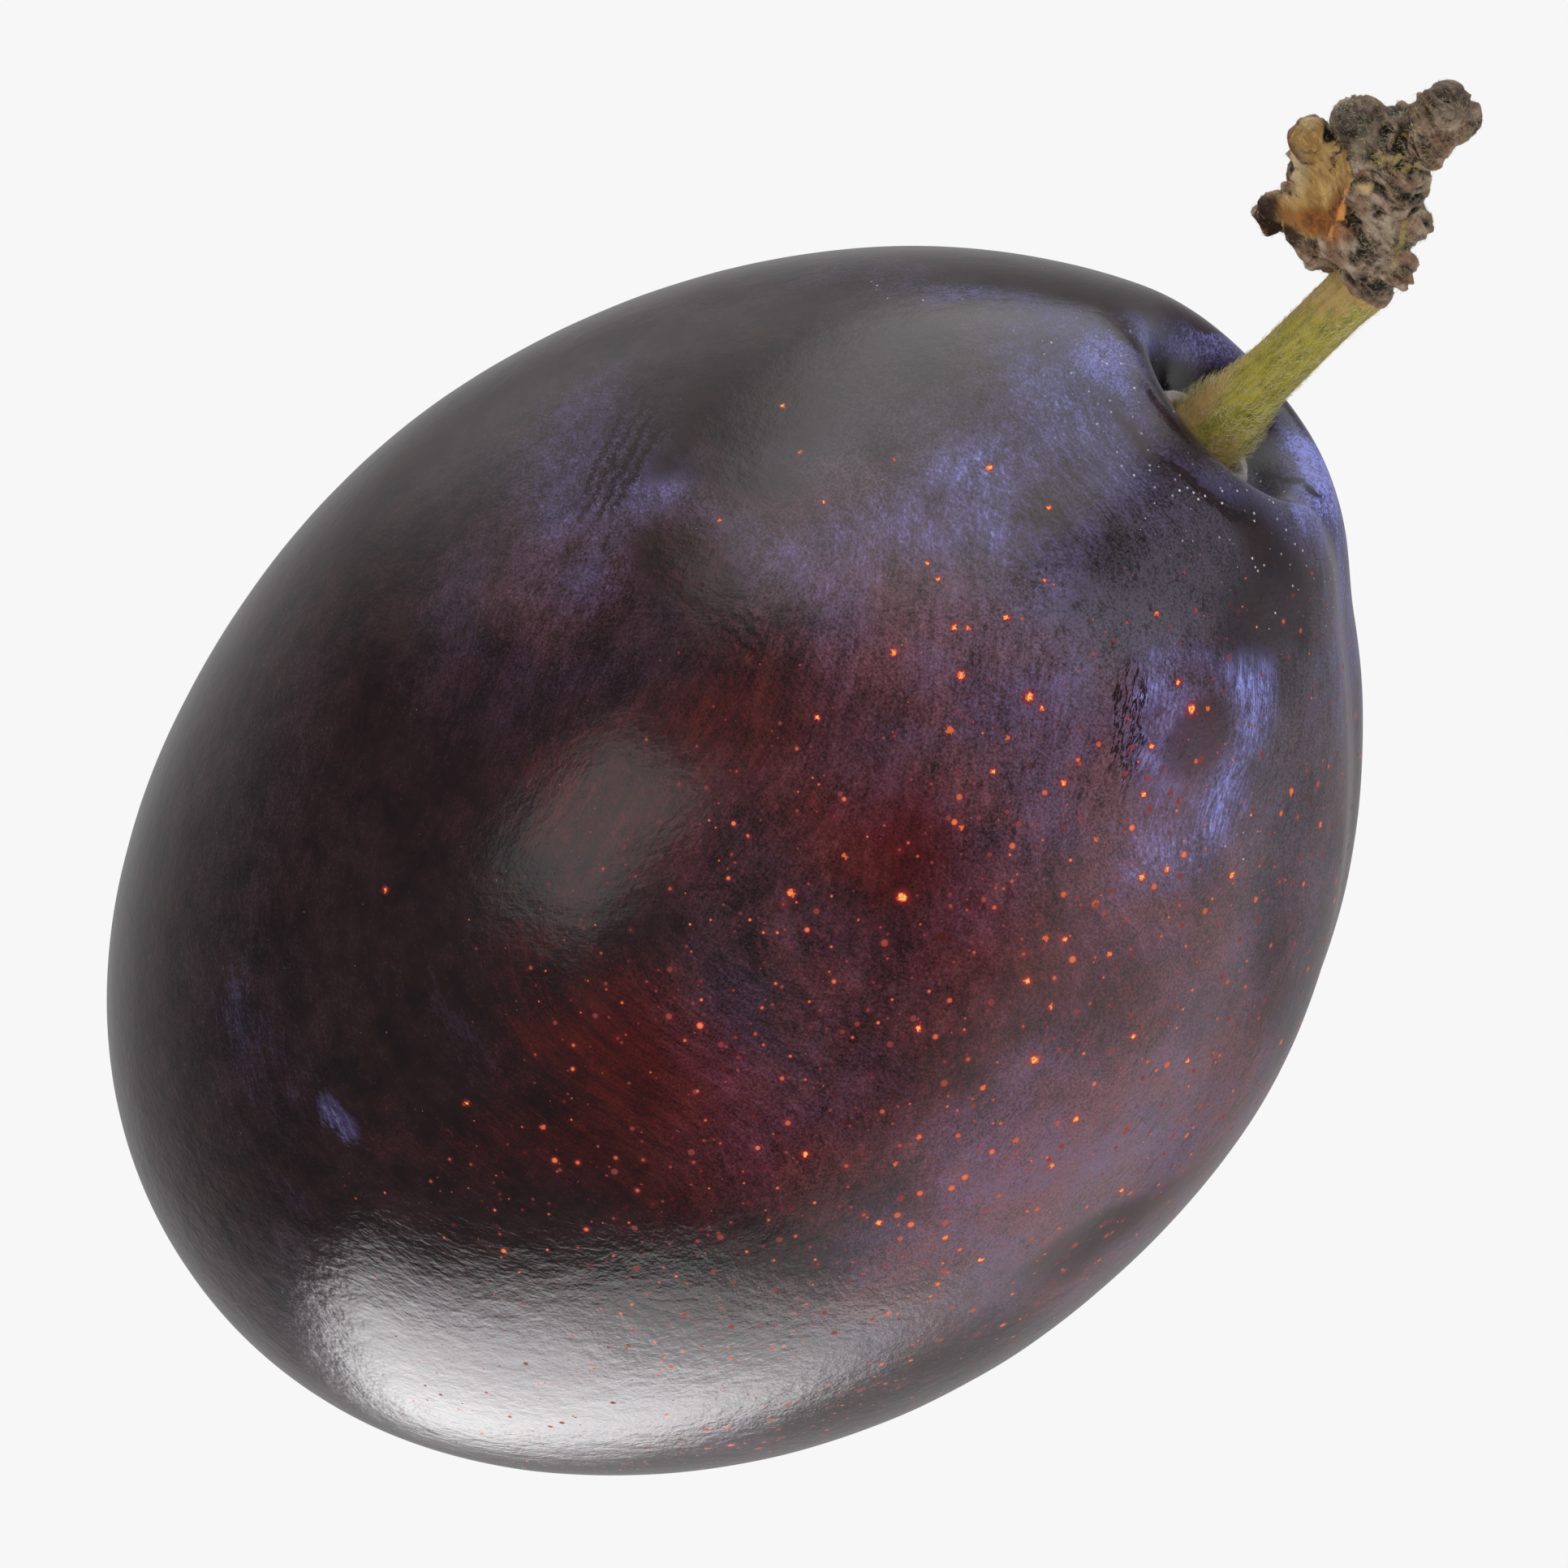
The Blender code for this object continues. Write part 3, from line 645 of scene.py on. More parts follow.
def fruitSkin():
    # Ripe plum skin: a thin glossy wax over near-black purple flesh that glows red where it is thinner, most
    # of it under a powdery blue bloom that hands and leaves have rubbed into strokes
    material, add, place = newMaterial("plum skin with rubbed bloom")
    names = "bloom", "haze", "red", "bare", "cool", "calm", "peel", "crowd", "flecks", "dotSize", "dotHeat"
    fields = {name: add("Attribute", attribute_name=name, out="Fac") for name in names}
    strokeAt, pixelAt, fromDot = (add("Attribute", attribute_name=name, out="Vector")
                                  for name in ("strokeAt", "seenAt", "fromDot"))

    def drawn(scale, detail, roughness, **mapping):
        # noise on the coordinates of the strokes, stretched along them
        return add("noise", add("Mapping", strokeAt, Scale=scale, **mapping), 1.0, detail, roughness)

    # strokes: hair-fine fibres about 0.1 mm across, drawn out 9 times, and a second set that crosses them
    fibres = drawn((9.5, 1.0, 9.5), 3.0, 0.74)
    crossed = drawn((0.105, 0.8, 0.105), 2.0, 0.72, Rotation=(0, 0, 0.75), vector_type="TEXTURE")
    swathes = drawn((1.7, 0.35, 1.7), 3.0, 0.67)
    dents = drawn((2.3, 1.1, 2.3), 3.0, 0.67)
    pits = drawn((0.85, 1.3, 1.1), 3.0, 0.7)
    blot = add("noise", place, 550.0, 4.0, 0.7)
    grain = add("noise", place, 10000.0, 1.0, 0.8)
    # one uneven field that thickens and thins both layers of wax, and a powdery one for the calm places
    uneven = stirred(add, None, (fibres, 0.9), (crossed, 0.7), (swathes, 0.7), (blot, 0.65))
    stir = add("minus", 1.0, add("times", fields["calm"], 0.5))
    powder = add("plus", add("times", fields["calm"], 0.6), 0.35)
    brushed = stirred(add, add("times", uneven, stir), (grain, powder))
    uneven = stirred(add, uneven, (grain, 1.1))

    def spread(amount, even, more, by=uneven):
        # a field made uneven: a little where it is thin, more where it is thick
        gain = add("plus", add("times", add("least", amount, 1.0), more), even)
        return add("plus", amount, add("times", by, gain))

    # marks with sharper edges than the vertices can hold, at the photograph's pixels, feathered by some
    # pixels
    feather = add("CombineXYZ", add("plus", dents, fibres), add("plus", pits, crossed))
    feather = add("VectorMath SUBTRACT", feather, (1, 1, 0))
    seenAt, closeAt = (add("VectorMath MULTIPLY_ADD", feather, (reach, reach, 0), pixelAt) for reach in (28,
            8))

    def mark(px, py, halfLong, halfWide, turn, strength=1.0, hard=0.55, at=seenAt):
        local = add("Mapping TEXTURE", at, (px, -py, 0), (0, 0, math.radians(turn)), (halfLong, halfWide, 1))
        return add("fade", add("length", local), 1.25, hard, 0.0, strength)

    def lines(px, py, halfLong, halfWide, turn, period, wander):
        # thin curved strokes side by side, inside an oval with soft ends
        local = add("Mapping TEXTURE", seenAt, (px, -py, 0), (0, 0, math.radians(turn)))
        wave = add("TexWave", local, 0.314 / period, wander, 2.0, 0.6, bands_direction="Y", out="Fac")
        return add("times", add("fade", wave, 0.45, 0.8), mark(px, py, halfLong, halfWide, turn, 1.0, 0.4))

    strongest = partial(reduce, partial(add, "most"))
    strokes = strongest([lines(*row) for row in strokedMarks])
    bared = strongest([fields["bare"], strongest([mark(*row) for row in sharpBare]), strokes])
    rubbed = add("fade", spread(bared, 0.25, 0.7), 0.1, 0.7)
    kept = add("minus", 1.0, add("times", rubbed, 0.92))
    # painted shade in the hollow and along the creases, joined with the darker rubbed strokes
    paintedShadeAndStrokes = strongest([mark(*row) for row in paintedShadeMarks] + [mark(*row, at=closeAt) for row in paintedCreaseShade])
    paintedShadeAndStrokes = add("most", add("times", paintedShadeAndStrokes, 0.93), add("times", strokes, 0.4))

    # flesh colour under the skin, near black with a red glow
    flesh = add("mix", add("fade", blot, 0.32, 0.68), "#191315", "#241819")
    glow = add("fade", spread(fields["red"], 0.5, 0.6), 0.1, 1.1)
    flesh = add("mix", glow, flesh, add("mix", add("fade", swathes, 0.45, 0.7), "#40100f", "#48180f"))

    # thin haze of rubbed wax, wine red or cool grey, missing from small dents and scuffs
    haze = add("times", add("fade", spread(fields["haze"], 0.35, 0.8), -0.05, 1.2), 0.54)
    scuffs = add("plus", dents, mark(*scuffedSpot))
    haze = add("times", add("times", haze, kept), add("fade", scuffs, 0.6, 0.7, 1.0, 0.4))
    cool = add("least", fields["cool"], 1.0)
    tint = add("mix", add("fade", add("noise", place, 280.0, 3.0, 0.6), 0.38, 0.62), "#875a66", "#706086")
    tint = add("mix", cool, tint, "#6c6878")
    tint = add("mix", add("fade", grain, 0.3, 0.7), add("mix", cool, "#75505c", "#5c5864"), tint)
    skin = add("mix", haze, flesh, tint)

    # thick bloom, bluer and paler where it lies deep
    bloom = add("most", fields["bloom"], strongest([mark(*row) for row in sharpBloom]))
    bloom = add("times", add("fade", spread(bloom, 0.4, 0.95, brushed), 0.1, 1.3), kept)
    bloom = add("least", bloom, 1.0)
    thick = add("plus", bloom, add("times", stirred(add, None, (fibres, 1.2)), stir))
    skin = add("mix", bloom, skin, add("mix", add("fade", thick, 0.25, 1.05), "#5b588c", "#8a90dc"))
    # the painted shade and the strokes take the skin towards near black
    skin = add("mix", paintedShadeAndStrokes, skin, "#0e0b0f")

    # large dots: corky pores with a hot core, a red halo and a dark split in the middle of the largest
    shaken = add("VectorMath SUBTRACT", add("CombineXYZ", grain, fibres, crossed), (0.5, 0.5, 0.5))
    shaken = add("VectorMath MULTIPLY_ADD", shaken, (0.34, 0.34, 0.34), fromDot)
    share, heat = add("over", add("length", shaken), fields["dotSize"]), fields["dotHeat"]
    core = add("fade", share, 1.1, 0.6)
    halo = add("times", add("fade", share, 2.4, 0.7), add("fade", heat, 0.3, 0.9, 0.1, 0.7))
    ember = add("mix", add("fade", heat, 0.0, 0.75), "#8a3028", "#df6a2e")
    hot = add("times", add("fade", share, 0.8, 0.4), add("fade", heat, 0.45, 0.9))
    split = add("times", add("fade", share, 0.36, 0.14), add("fade", heat, 0.62, 0.72))
    for amount, tone in ((halo, "#7c1d22"), (add("times", core, 0.9), ember), (hot, "#ffb460"),
                         (split, "#7a2a12")):
        skin = add("mix", amount, skin, tone)
    # two sizes of small pores, one random size and heat to each cell
    for perMm, widest, rarest in ((1.5, 0.15, 0.15), (3.0, 0.07, 0.5)):
        cells = add("TexVoronoi", place, perMm * 1000, out=None).outputs
        chance = add("SeparateColor", cells["Color"], out=None).outputs
        size = add("times", add("fade", fields["crowd"], 0.0, 1.0), widest * perMm)
        size = add("times", size, add("fade", chance[0], rarest, 1.0))
        away = add("over", cells["Distance"], add("most", size, 0.001))
        rim = add("times", add("fade", away, 2.2, 1.0, 0.0, 0.35), chance[1])
        pore = add("fade", away, 1.15, 0.55, 0.0, 0.9)
        tone = add("mix", add("fade", chance[1], 0.4, 1.0), "#722a2a", "#dc6c3a")
        skin = add("mix", pore, add("mix", rim, skin, "#7c2024"), tone)
        core = add("most", core, pore)
    # cream flecks share the finer cells; grain and fibres make them ragged
    size = add("times", add("fade", add("minus", fields["flecks"], chance[2]), -0.1, 0.6), 0.17)
    ragged = add("times", add("minus", add("plus", grain, fibres), 1.0), 0.16)
    ragged = add("plus", cells["Distance"], ragged)
    fleck = add("fade", add("over", ragged, add("most", size, 0.001)), 1.1, 0.5)
    skin = add("mix", add("times", fleck, add("fade", chance[1], 0.0, 1.0, 0.35, 0.9)), skin, "#c2c0c8")

    matt = add("most", add("most", bloom, add("times", haze, 0.45)),
               add("times", add("most", core, fleck), 1.8))
    gloss = add("MapRange", matt, 0.0, 1.8, 0.16, 0.85)
    # relief: orange-peel pits about half a millimetre across, and the strokes themselves
    relief = add("times", add("plus", pits, add("times", fibres, 0.16)), fields["peel"])
    return dress(material, skin, gloss, relief, 0.52, 0.0001, ior=1.45)


plum = makeFruit(fruitSkin())
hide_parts("fruit")
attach(plum, "root")
print("fruit made:", len(plum.data.polygons), "faces")


# Stem
stem = dict(foot=23.6, top=35.6, slope=math.tan(math.radians(1.9)), crossing=21.4, radius=1.03, footSwell=0.5,
            footSwellEnd=27.4, topSwell=0.1, ribs=11, ribHeight=0.035, rows=170, columns=120,
            hairs=8500, hairLength=0.34, hairWidth=0.014)
# where the bark of the stem is dry and tan, at the photograph's pixels
stemTan = ((1470, 500, 40, 22, 45, 1.1), (1645, 362, 34, 30, 42, 0.8), (1560, 412, 120, 8, 42, 0.45),
           (1500, 560, 20, 26, 0, 0.6))


def stemRadius(x):
    # thicker at the foot, fading in an s-curve, and again a little under the spur; its hidden end is narrower
    foot = stem["footSwell"] / (1 + np.exp((x - stem["footSwellEnd"]) / 0.9))
    return stem["radius"] + foot + stem["topSwell"] * np.exp(-(((35 - x) / 0.8) ** 2)) - 0.5 * smoothStep(x,
            34.9, 35.5)


def stemSurface(x, angle):
    # a leaning round bar with low ribs along it that wander a little, and faint swellings
    y = (x - stem["crossing"]) * stem["slope"]
    wander = 0.35 * np.sin(0.9 * x) + 0.2 * np.sin(2.3 * x + 1)
    rib = stem["ribHeight"] * (np.sin(stem["ribs"] * angle + wander) + 0.5 * np.sin(17 * angle - wander))
    flat = np.stack([x, y + 0 * angle, 0 * x], -1).reshape(-1, 3)
    flat = flat + np.stack([0 * x, np.cos(angle), np.sin(angle)], -1).reshape(-1, 3)
    swell = 0.05 * lumps(flat, 1.4, 21).reshape(x.shape)
    r = stemRadius(x) + rib + swell
    return np.stack([x, y + r * np.cos(angle), r * np.sin(angle)], -1)


def makeStem(material):
    x, angle = np.meshgrid(np.linspace(stem["foot"], stem["top"], stem["rows"]),
                           np.linspace(0, 2 * math.pi, stem["columns"], endpoint=False), indexing="ij")
    points = stemSurface(x, angle)
    ends = points[0].mean(axis=0), points[-1].mean(axis=0)
    every, faces = closedGrid(points, *ends, stem["rows"], stem["columns"])
    made = makeObject("stem_green", inMetres(every), faces, material)
    seenX, seenY = onPhoto(every)
    dry = patchField(seenX, seenY, stemTan, 0.5 * lumps(every, 0.9, 22)) * (every[:, 2] > -0.3)
    dry = np.maximum(dry, 1 - smoothStep(every[:, 0], 25, 27.5))
    storeField(made, "dry", np.maximum(dry, smoothStep(every[:, 0], 34, 35.3)))
    return made


def hairMesh(name, roots, outwards, lay, lift, lengths, width, material):
    # each hair is a three-sided spike of three joints: it runs along its lay and rises by its lift times its
    # length
    count = len(roots)
    share = np.array([0, 0.38, 0.72, 1.0])
    thick = np.array([1.0, 0.85, 0.55, 0.08])
    lay = lay - (lay * outwards).sum(axis=1, keepdims=True) * outwards
    lay /= np.linalg.norm(lay, axis=1, keepdims=True)
    path = (roots[:, None] + lay[:, None] * (share * lengths[:, None])[..., None]
            + outwards[:, None] * (share * (1.7 - share) * (lift * lengths)[:, None])[..., None])
    beside = np.cross(outwards, lay)
    turn = np.arange(3) / 3 * 2 * math.pi
    ringOffset = beside[:, None, None] * np.cos(turn)[:, None] + outwards[:, None, None] * np.sin(turn)[:,
            None]
    points = path[:, :, None] + ringOffset * (thick * width / 2)[:, None, None]
    quads = []
    for joint in range(3):
        for side in range(3):
            a, b = joint * 3 + side, joint * 3 + (side + 1) % 3
            quads.append((a, b, b + 3, a + 3))
    base = (np.arange(count) * 12)[:, None, None]
    faces = (base + np.array(quads)).reshape(-1, 4)
    ends = (base + np.array([[0, 2, 1], [9, 10, 11]])).reshape(-1, 3)
    return makeObject(name, inMetres(points.reshape(-1, 3)), faces.tolist() + ends.tolist(), material)


def stemHairs(material):
    rng = np.random.default_rng(52)
    x = rng.uniform(25.2, 34.8, stem["hairs"])
    angle = rng.uniform(0, 2 * math.pi, stem["hairs"])
    roots = stemSurface(x, angle)
    outwards = np.stack([0 * x, np.cos(angle), np.sin(angle)], -1)
    low = 1 - smoothStep(x, 26.5, 29.5)
    lay = np.array([1.0, 0, 0]) + rng.normal(0, 0.8, (len(x), 3))
    lengths = stem["hairLength"] * rng.uniform(0.5, 1.2, len(x)) * (1 + 0.8 * low)
    lift = rng.uniform(0.05, 0.5, len(x)) + 0.5 * low
    sunk = roots - outwards * 0.02
    return hairMesh("stem_hairs", sunk, outwards, lay, lift, lengths, stem["hairWidth"], material)


def greenStem():
    # Fresh fruit stalk: yellow-green bark with lengthwise ribs, dull, browner at both ends
    material, add, place = newMaterial("green stalk bark")
    streak = add("noise", add("Mapping", place, Scale=(0.14, 1, 1)), 6500.0, 5.0, 0.7)
    blot = add("noise", place, 1500.0, 6.0, 0.7)
    both = add("Mix FLOAT", 0.45, streak, blot)
    green = add("mix", add("MapRange", both, 0.36, 0.66), "#4b4a0a", "#a2942a")
    brown = add("mix", both, "#5e431c", "#c09a5c")
    ends = add("Math MULTIPLY_ADD", blot, 1.4, add("Attribute", attribute_name="dry", out="Fac"))
    skin = add("mix", add("MapRange", ends, 0.85, 1.45), green, brown)
    return dress(material, skin, 0.6, streak, 0.6, 0.00008)


def paleHair():
    # Plant hairs: short, dry, nearly clear, so they look whitish where light catches them
    material, add, place = newMaterial("dry plant hair")
    return dress(material, add("mix", add("noise", place, 900.0, 2.0), "#9c9058", "#dad2a4"), 0.5)


hairFinish = paleHair()
greenPart = makeStem(greenStem())
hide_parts("stem")
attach(greenPart, "root")
downPart = stemHairs(hairFinish)
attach(downPart, "root")
print("stem made:", len(downPart.data.polygons), "hair faces")


# Ring of dry receptacle at the stem's foot
ringPart = dict(inner=1.6, outer=2.42, base=24.0, top=26.15, wrinkles=23, rows=40, columns=240)


def makeRing(material):
    # a rounded oblong carried round the stem; wrinkles and lumps swell it outwards
    turn, angle = np.meshgrid(np.linspace(0, 2 * math.pi, ringPart["rows"], endpoint=False),
                              np.linspace(0, 2 * math.pi, ringPart["columns"], endpoint=False), indexing="ij")
    middle, half = (ringPart["inner"] + ringPart["outer"]) / 2, (ringPart["outer"] - ringPart["inner"]) / 2
    height = (ringPart["top"] - ringPart["base"]) / 2

    def square(wave):
        # a wave with flatter tops, which makes the round section oblong
        return np.sign(wave) * np.abs(wave) ** 0.6

    flat = np.stack([np.cos(angle) * 2, np.sin(angle) * 2, np.cos(turn)], -1).reshape(-1, 3)
    uneven = (0.09 * lumps(flat, 0.7, 31) + 0.05 * lumps(flat, 0.3, 32)).reshape(angle.shape)
    wrinkle = 0.04 * np.sin(ringPart["wrinkles"] * angle + 2 * np.sin(3 * angle))
    r = middle + half * square(np.cos(turn)) + (uneven + wrinkle) * np.abs(np.cos(turn)) * 0.6
    x = (ringPart["top"] + ringPart["base"]) / 2 + height * square(np.sin(turn)) - np.abs(uneven) * 1.2
    y0 = (x - stem["crossing"]) * stem["slope"]
    points = np.stack([x, y0 + r * np.cos(angle), r * np.sin(angle)], -1)
    rows, columns = angle.shape
    row, column = np.meshgrid(np.arange(rows), np.arange(columns), indexing="ij")
    nextRow, nextColumn = (row + 1) % rows, (column + 1) % columns
    faces = np.stack([row * columns + column, row * columns + nextColumn, nextRow * columns + nextColumn,
                      nextRow * columns + column], -1).reshape(-1, 4)
    every = points.reshape(-1, 3)
    if signedVolume(every - every.mean(axis=0), faces) < 0:
        faces = faces[:, ::-1]
    return makeObject("stem_foot_ring", inMetres(every), faces.tolist(), material)


def dryRing():
    # Dry receptacle: papery, grey-brown, wrinkled, with a dusting of bloom
    material, add, place = newMaterial("dry papery receptacle")
    blot = add("noise", place, 1600.0, 6.0, 0.7)
    skin = add("mix", add("MapRange", blot, 0.3, 0.7), "#4a4348", "#b3a9a8")
    return dress(material, skin, 0.8, blot, 0.7, 0.0001)


footRing = makeRing(dryRing())
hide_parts("stem_ring")
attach(footRing, "root")
print("ring made")


# Spur stub
spur = dict(voxel=0.08, smoothing=5, coarse=0.1, middle=0.16, small=0.1, hairs=8000, hairLength=0.3,
            hairWidth=0.009,
            lobeRows=22, lobeColumns=36)
# lobes of wood: middle, half lengths along x, y and z, turn about z in degrees
spurLobes = (
    ((35.55, 0.8, 0.0), (0.76, 1.48, 1.52), -16), ((36.4, 2.0, -0.1), (1.7, 1.75, 2.1), 20),
    ((36.2, 0.3, 0.2), (1.0, 0.95, 0.95), 0), ((37.55, 1.0, -0.4), (0.92, 0.88, 1.2), 0),
    ((38.3, 2.95, -0.1), (1.6, 1.75, 2.15), 0), ((38.9, 4.7, -0.3), (1.02, 1.08, 1.3), 0),
    ((39.8, 3.4, 0.0), (1.3, 1.25, 1.3), 0), ((41.35, 2.9, 0.2), (1.62, 1.12, 1.15), 18),
    ((42.0, 2.35, 0.1), (0.9, 0.8, 0.85), 0), ((35.0, 3.35, 0.3), (0.72, 1.8, 1.05), -14),
    ((34.42, 4.55, 0.3), (0.66, 0.66, 0.66), 0), ((36.6, 4.5, -0.7), (1.7, 1.35, 0.8), 25),
    ((37.35, 5.55, 0.0), (0.8, 0.8, 0.8), 0),
)
tornMiddle, tornRadius = np.array([36.4, 4.5, 1.3]), 1.3
# colours and the smooth torn face, at the photograph's pixels, as for the skin
tornPatches = ((1628, 222, 50, 35, 74, 1), (1612, 172, 36, 20, 68, 1), (1602, 264, 50, 24, -24, 1))
barkPatches = dict(
    burnt=((1626, 276, 46, 22, -22, 1), (1646, 256, 36, 14, 72, 0.9), (1590, 268, 36, 20, -30, 0.8)),
    charred=((1553, 262, 30, 32, 10, 1), (1582, 286, 34, 15, -32, 1), (1616, 300, 26, 8, -25, 0.6)),
    orange=((1656, 252, 30, 5, 76, 1), (1645, 284, 14, 6, 60, 0.8)),
    cream=((1592, 212, 34, 20, 80, 0.9), (1614, 152, 16, 9, 40, 0.6)),
    # pale bark low on the spur; on its ridges the pale colour is partly painted highlight
    paleAndHighlit=((1690, 310, 62, 36, 62, 0.8), (1704, 244, 36, 26, 0, 0.5)),
    ochre=((1716, 195, 30, 7, -12, 1), (1738, 206, 20, 6, 18, 1), (1724, 300, 44, 5, 74, 1)),
    pale=((1680, 231, 12, 8, 20, 1),),
    grey=((1664, 158, 54, 42, 0, 1), (1650, 196, 22, 30, 20, 0.7), (1786, 122, 48, 40, 0, 0.9),
          (1712, 140, 40, 26, 0, 0.7)),
)


def spurMarks(seenX, seenY, patches, facing, full=0.7, gone=1.2):
    # the strongest of the patches at each vertex, on the side that the photograph shows
    total = np.zeros(len(seenX))
    for *oval, strength in patches:
        far = ovalDistance(seenX, seenY, *oval)
        total = np.maximum(total, strength * (1 - smoothStep(far, full, gone)))
    return total * facing


def makeSpur(material):
    # ellipsoids grown together by a voxel skin, then roughened: lumps, folds and fibres push the skin in and
    # out
    parts, faces, base = [], [], 0
    for middle, halves, turn in spurLobes:
        polar, angle = np.meshgrid(np.linspace(0.1, math.pi - 0.1, spur["lobeRows"]),
                                   np.linspace(0, 2 * math.pi, spur["lobeColumns"], endpoint=False),
                                   indexing="ij")
        ball = np.stack([np.sin(polar) * np.cos(angle), np.sin(polar) * np.sin(angle), np.cos(polar)], -1)
        every, ballFaces = closedGrid(ball, [0, 0, 1], [0, 0, -1], spur["lobeRows"], spur["lobeColumns"])
        c, s = math.cos(math.radians(turn)), math.sin(math.radians(turn))
        every = every * halves @ np.array([[c, s, 0], [-s, c, 0], [0, 0, 1]]) + middle
        parts.append(every)
        faces += [[i + base for i in face] for face in ballFaces]
        base += len(every)
    rough = makeObject("spur_rough", inMetres(np.vstack(parts)), faces, material)
    grow = rough.modifiers.new("grow together", "REMESH")
    grow.mode = "VOXEL"
    grow.voxel_size = spur["voxel"] * mm
    ease = rough.modifiers.new("ease", "SMOOTH")
    ease.factor, ease.iterations = 0.5, spur["smoothing"]
    whole = bpy.data.meshes.new_from_object(rough.evaluated_get(bpy.context.evaluated_depsgraph_get()))
    bpy.data.objects.remove(rough)
    count = len(whole.vertices)
    points, normals = np.zeros(count * 3, np.float32), np.zeros(count * 3, np.float32)
    whole.vertices.foreach_get("co", points)
    whole.vertex_normals.foreach_get("vector", normals)
    points = points.reshape(-1, 3).astype(float) / mm - [0, 0, restHeight]
    normals = normals.reshape(-1, 3).astype(float)
    # the torn face: a round bite; what lies in it drops to its floor
    off = points - tornMiddle
    flatOff = np.hypot(off[:, 0], off[:, 1])
    inBite = (np.linalg.norm(off, axis=1) < tornRadius) & (flatOff < tornRadius)
    floorZ = tornMiddle[2] - np.sqrt(np.maximum(tornRadius ** 2 - flatOff ** 2, 0))
    points[:, 2] = np.where(inBite, floorZ, points[:, 2])
    seenX, seenY = onPhoto(points)
    facing = smoothStep(np.maximum(normals @ viewBack, inBite), 0.0, 0.3) * smoothStep(points[:, 2], -1.2,
            -0.6)
    nearby = seenX + 5 * lumps(points, 0.5, 68), seenY + 5 * lumps(points, 0.5, 69)
    torn = spurMarks(*nearby, tornPatches, facing)
    # its depth along the view becomes a smooth bowl: 1, u, v, u u, u v, v v fitted to it
    u, v = (seenX - 1612) / 60, (seenY - 225) / 60
    terms = np.stack([u ** 0, u, v, u * u, u * v, v * v], -1)
    deep = points @ viewBack
    bowl = terms @ np.linalg.lstsq(terms[torn > 0.6], deep[torn > 0.6], rcond=None)[0]
    points += viewBack * (torn * np.clip(bowl - 0.15 - deep, -0.7, 1.3))[:, None]
    # folds that wrap round the wood: ridged noise, drawn out across the stem's line, at two sizes
    bend = points + 0.8 * np.stack([lumps(points, 1.5, seed) for seed in (62, 63, 64)], -1)
    fold = 1 - np.abs(lumps(bend * [1.6, 0.6, 0.6], 1.0, 61)) * 2.6
    crease = 1 - np.abs(lumps(bend * [1.8, 0.55, 0.55], 0.5, 70)) * 2.6
    fibre = 1 - np.abs(lumps(bend * [1.8, 0.4, 0.4], 0.24, 65)) * 2.6
    push = (spur["coarse"] * lumps(points, 1.1, 66) + spur["middle"] * fold + spur["small"] * crease
            + 0.05 * fibre)
    push *= 1 - 0.85 * torn
    points = points + normals * push[:, None]
    whole.vertices.foreach_set("co", inMetres(points).astype(np.float32).ravel())
    whole.update()
    whole.shade_smooth()
    made = bpy.data.objects.new("spur_bark", whole)
    bpy.context.scene.collection.objects.link(made)
    whole.materials.clear()
    whole.materials.append(material)
    storeField(made, "torn", torn)
    # how far into a fold each vertex lies; the bark's shader darkens the folds with it, as painted shade
    storeField(made, "fold", np.clip(0.5 + 0.3 * fold + 0.25 * crease + 0.2 * fibre, 0, 1))
    shaken = seenX + 4 * lumps(points, 0.4, 73), seenY + 4 * lumps(points, 0.4, 74)
    for name, patches in barkPatches.items():
        storeField(made, name, spurMarks(*shaken, patches, facing, 0.3, 1.4))
    return made, points, normals, torn


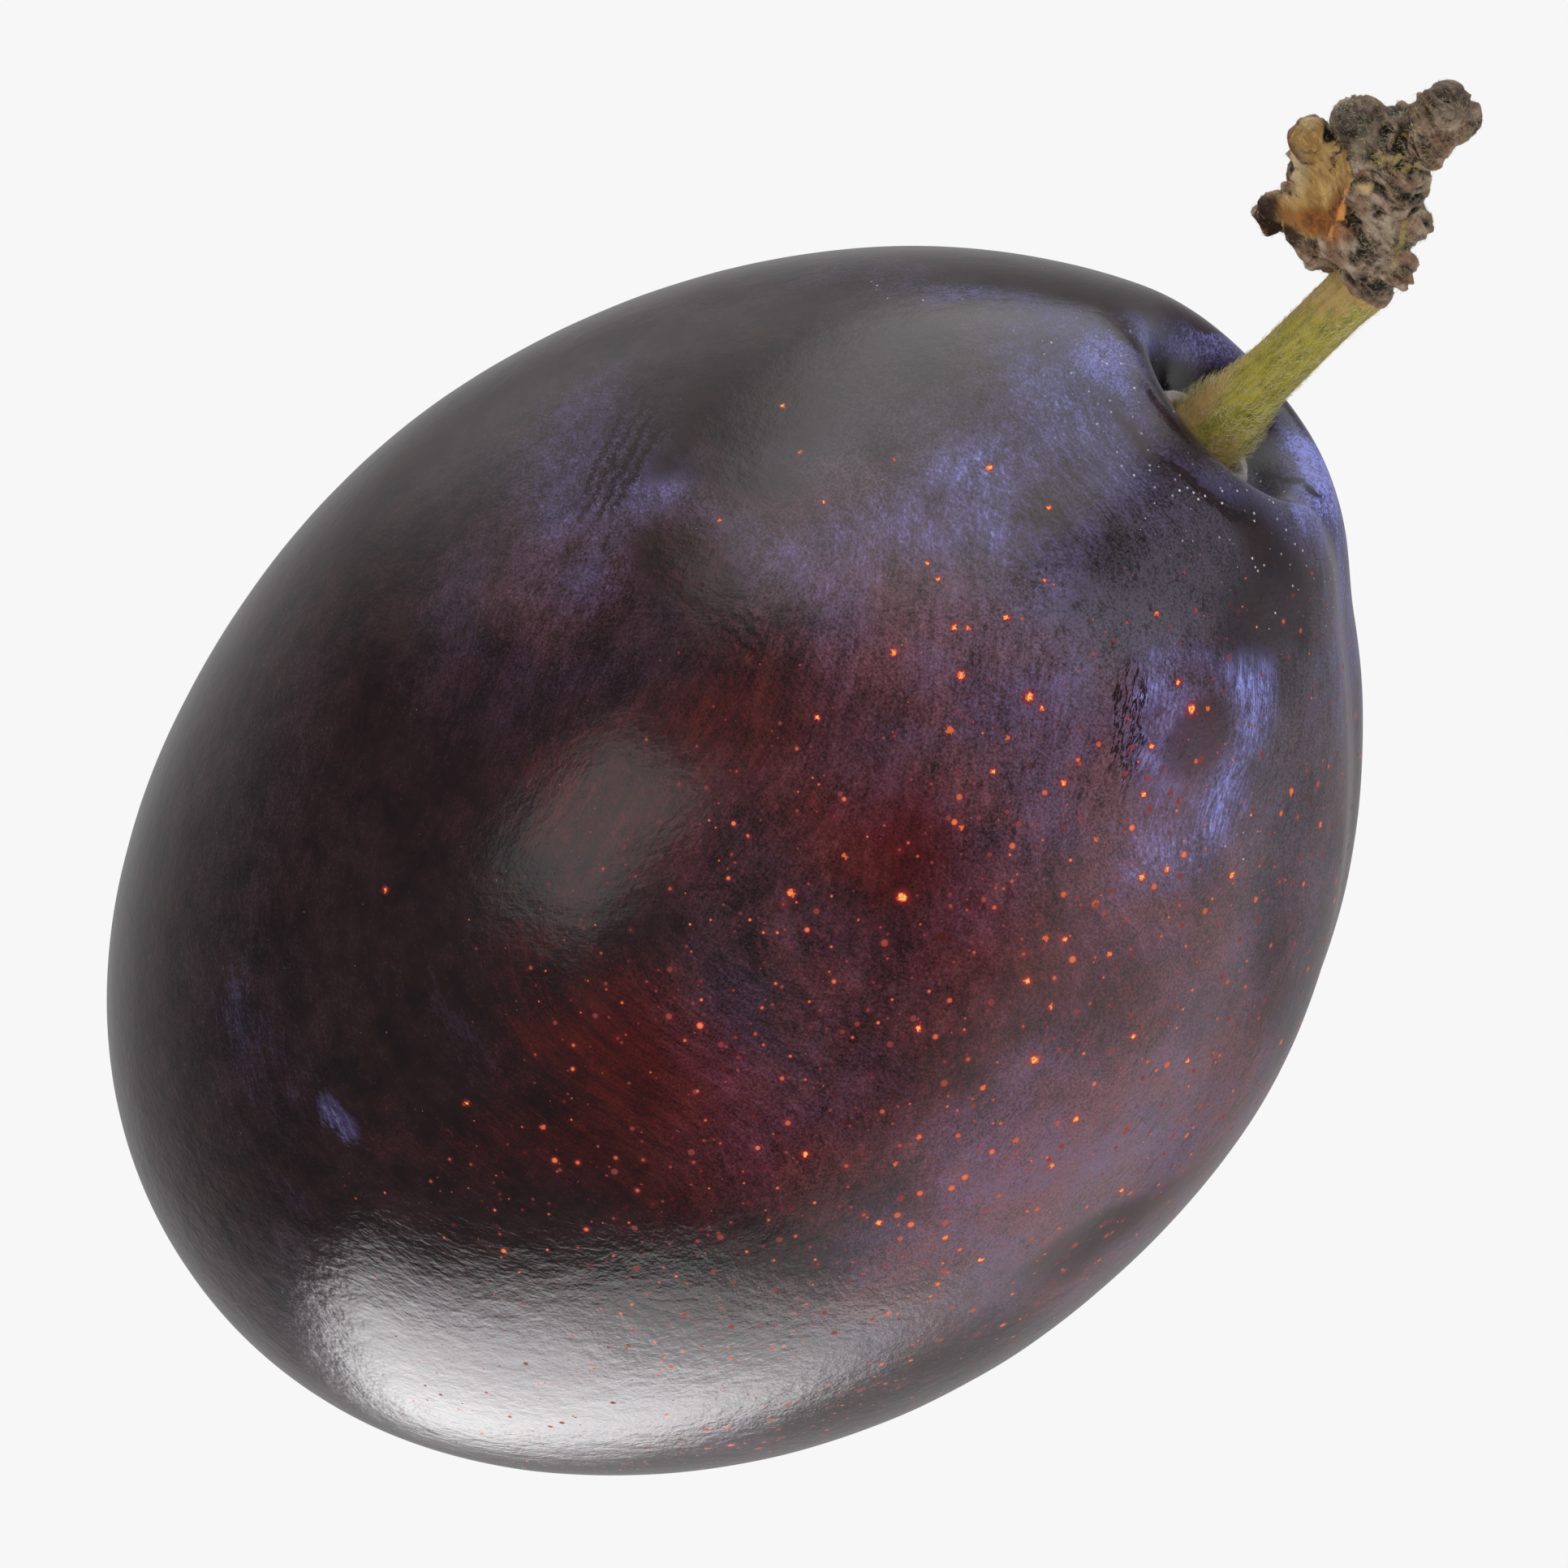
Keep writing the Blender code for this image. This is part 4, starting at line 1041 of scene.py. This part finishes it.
def spurBark():
    # Old spur wood: grey-brown flaking bark with fibres, pale cream wood where it tore, rust-brown at its
    # edge
    material, add, place = newMaterial("gnarled spur bark")
    fields = {name: add("Attribute", attribute_name=name, out="Fac") for name in ("torn", "fold",
            *barkPatches)}
    drawn = add("Mapping", place, Rotation=(0, 0, 0.4), Scale=(1, 0.35, 0.35))
    fibres, splinters, blot, flake, lichen = (
        add("noise", at, perMetre, detail, roughness, Distortion=0.5) for at, perMetre, detail, roughness in
        ((drawn, 6000.0, 6.0, 0.75), (drawn, 2500.0, 6.0, 0.7), (place, 900.0, 5.0, 0.65),
         (place, 2600.0, 5.0, 0.75), (place, 1300.0, 4.0, 0.6)))
    # painted shade darkens the bark in its folds, between worn brown ridges; with sooty, tan and ochre
    # places, and pale places partly painted highlight
    ridgeWithFoldShade = stirred(add, add("times", fields["fold"], 0.8), (flake, 0.8), (fibres, 1.5))
    brown = add("mix", add("fade", blot, 0.4, 0.65), "#7c5a43", "#b6a18c")
    bark = add("mix", add("fade", ridgeWithFoldShade, 0.12, 0.8), "#120b08", brown)
    soot = add("mix", add("fade", ridgeWithFoldShade, 0.2, 0.9), "#110e0d", "#443c35")
    bark = add("mix", add("times", fields["grey"], 0.8), bark, soot)
    # pale ash colour on the ridges there: partly the bark's own tone, partly painted highlight
    ashAndHighlight = add("mix", add("fade", ridgeWithFoldShade, 0.0, 0.8), "#2c201a", "#bfae9c")
    bark = add("mix", add("times", fields["paleAndHighlit"], 0.35), bark, ashAndHighlight)
    bark = add("mix", add("times", add("fade", lichen, 0.6, 0.72), 0.7), bark, "#9a7f45")
    bark = add("mix", add("fade", stirred(add, fields["ochre"], (flake, 2.6)), 0.45, 1.1), bark, "#a3905a")
    # torn wood: tan, cream where it is freshest
    wood = add("mix", add("fade", splinters, 0.35, 0.68), "#94703e", "#c9a569")
    wood = add("mix", fields["cream"], wood, add("mix", fibres, "#b0905e", "#ecd9b4"))
    skin = add("mix", add("fade", stirred(add, fields["torn"], (flake, 0.8)), 0.35, 0.65), bark, wood)
    skin = add("mix", fields["pale"], skin, add("mix", flake, "#a8864e", "#e8cfa0"))
    # its rusty, nearly black and orange edges
    edges = (("burnt", fibres, 0.9, 0.25, 1.05, add("fade", fibres, 0.35, 0.65), "#4a2610", "#a5642c"),
             ("charred", fibres, 0.9, 0.2, 0.9, fibres, "#150d0a", "#43281a"),
             ("orange", flake, 1.2, 0.35, 0.9, fibres, "#b05a1c", "#f0b060"))
    for name, noise, gain, low, high, tone, dark, light in edges:
        share = add("fade", stirred(add, fields[name], (noise, gain)), low, high)
        skin = add("mix", share, skin, add("mix", tone, dark, light))
    relief = add("plus", add("times", fibres, 0.8), flake)
    return dress(material, skin, 0.4, relief, 0.85, 0.0003)


spurPart, spurPoints, spurNormals, spurTorn = makeSpur(spurBark())
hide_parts("spur_stub")
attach(spurPart, "root")
rng = np.random.default_rng(71)
chosen = rng.choice(np.flatnonzero(spurTorn < 0.2), spur["hairs"], replace=False)
spurDown = hairMesh("spur_hairs", spurPoints[chosen] - spurNormals[chosen] * 0.01, spurNormals[chosen],
                    np.array([-0.4, 0.5, 0]) + rng.normal(0, 0.8, (spur["hairs"], 3)),
                    rng.uniform(0.02, 0.3, spur["hairs"]),
                    spur["hairLength"] * rng.uniform(0.4, 1.1, spur["hairs"]), spur["hairWidth"], hairFinish)
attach(spurDown, "root")
print("spur made:", len(spurPart.data.polygons), "faces")
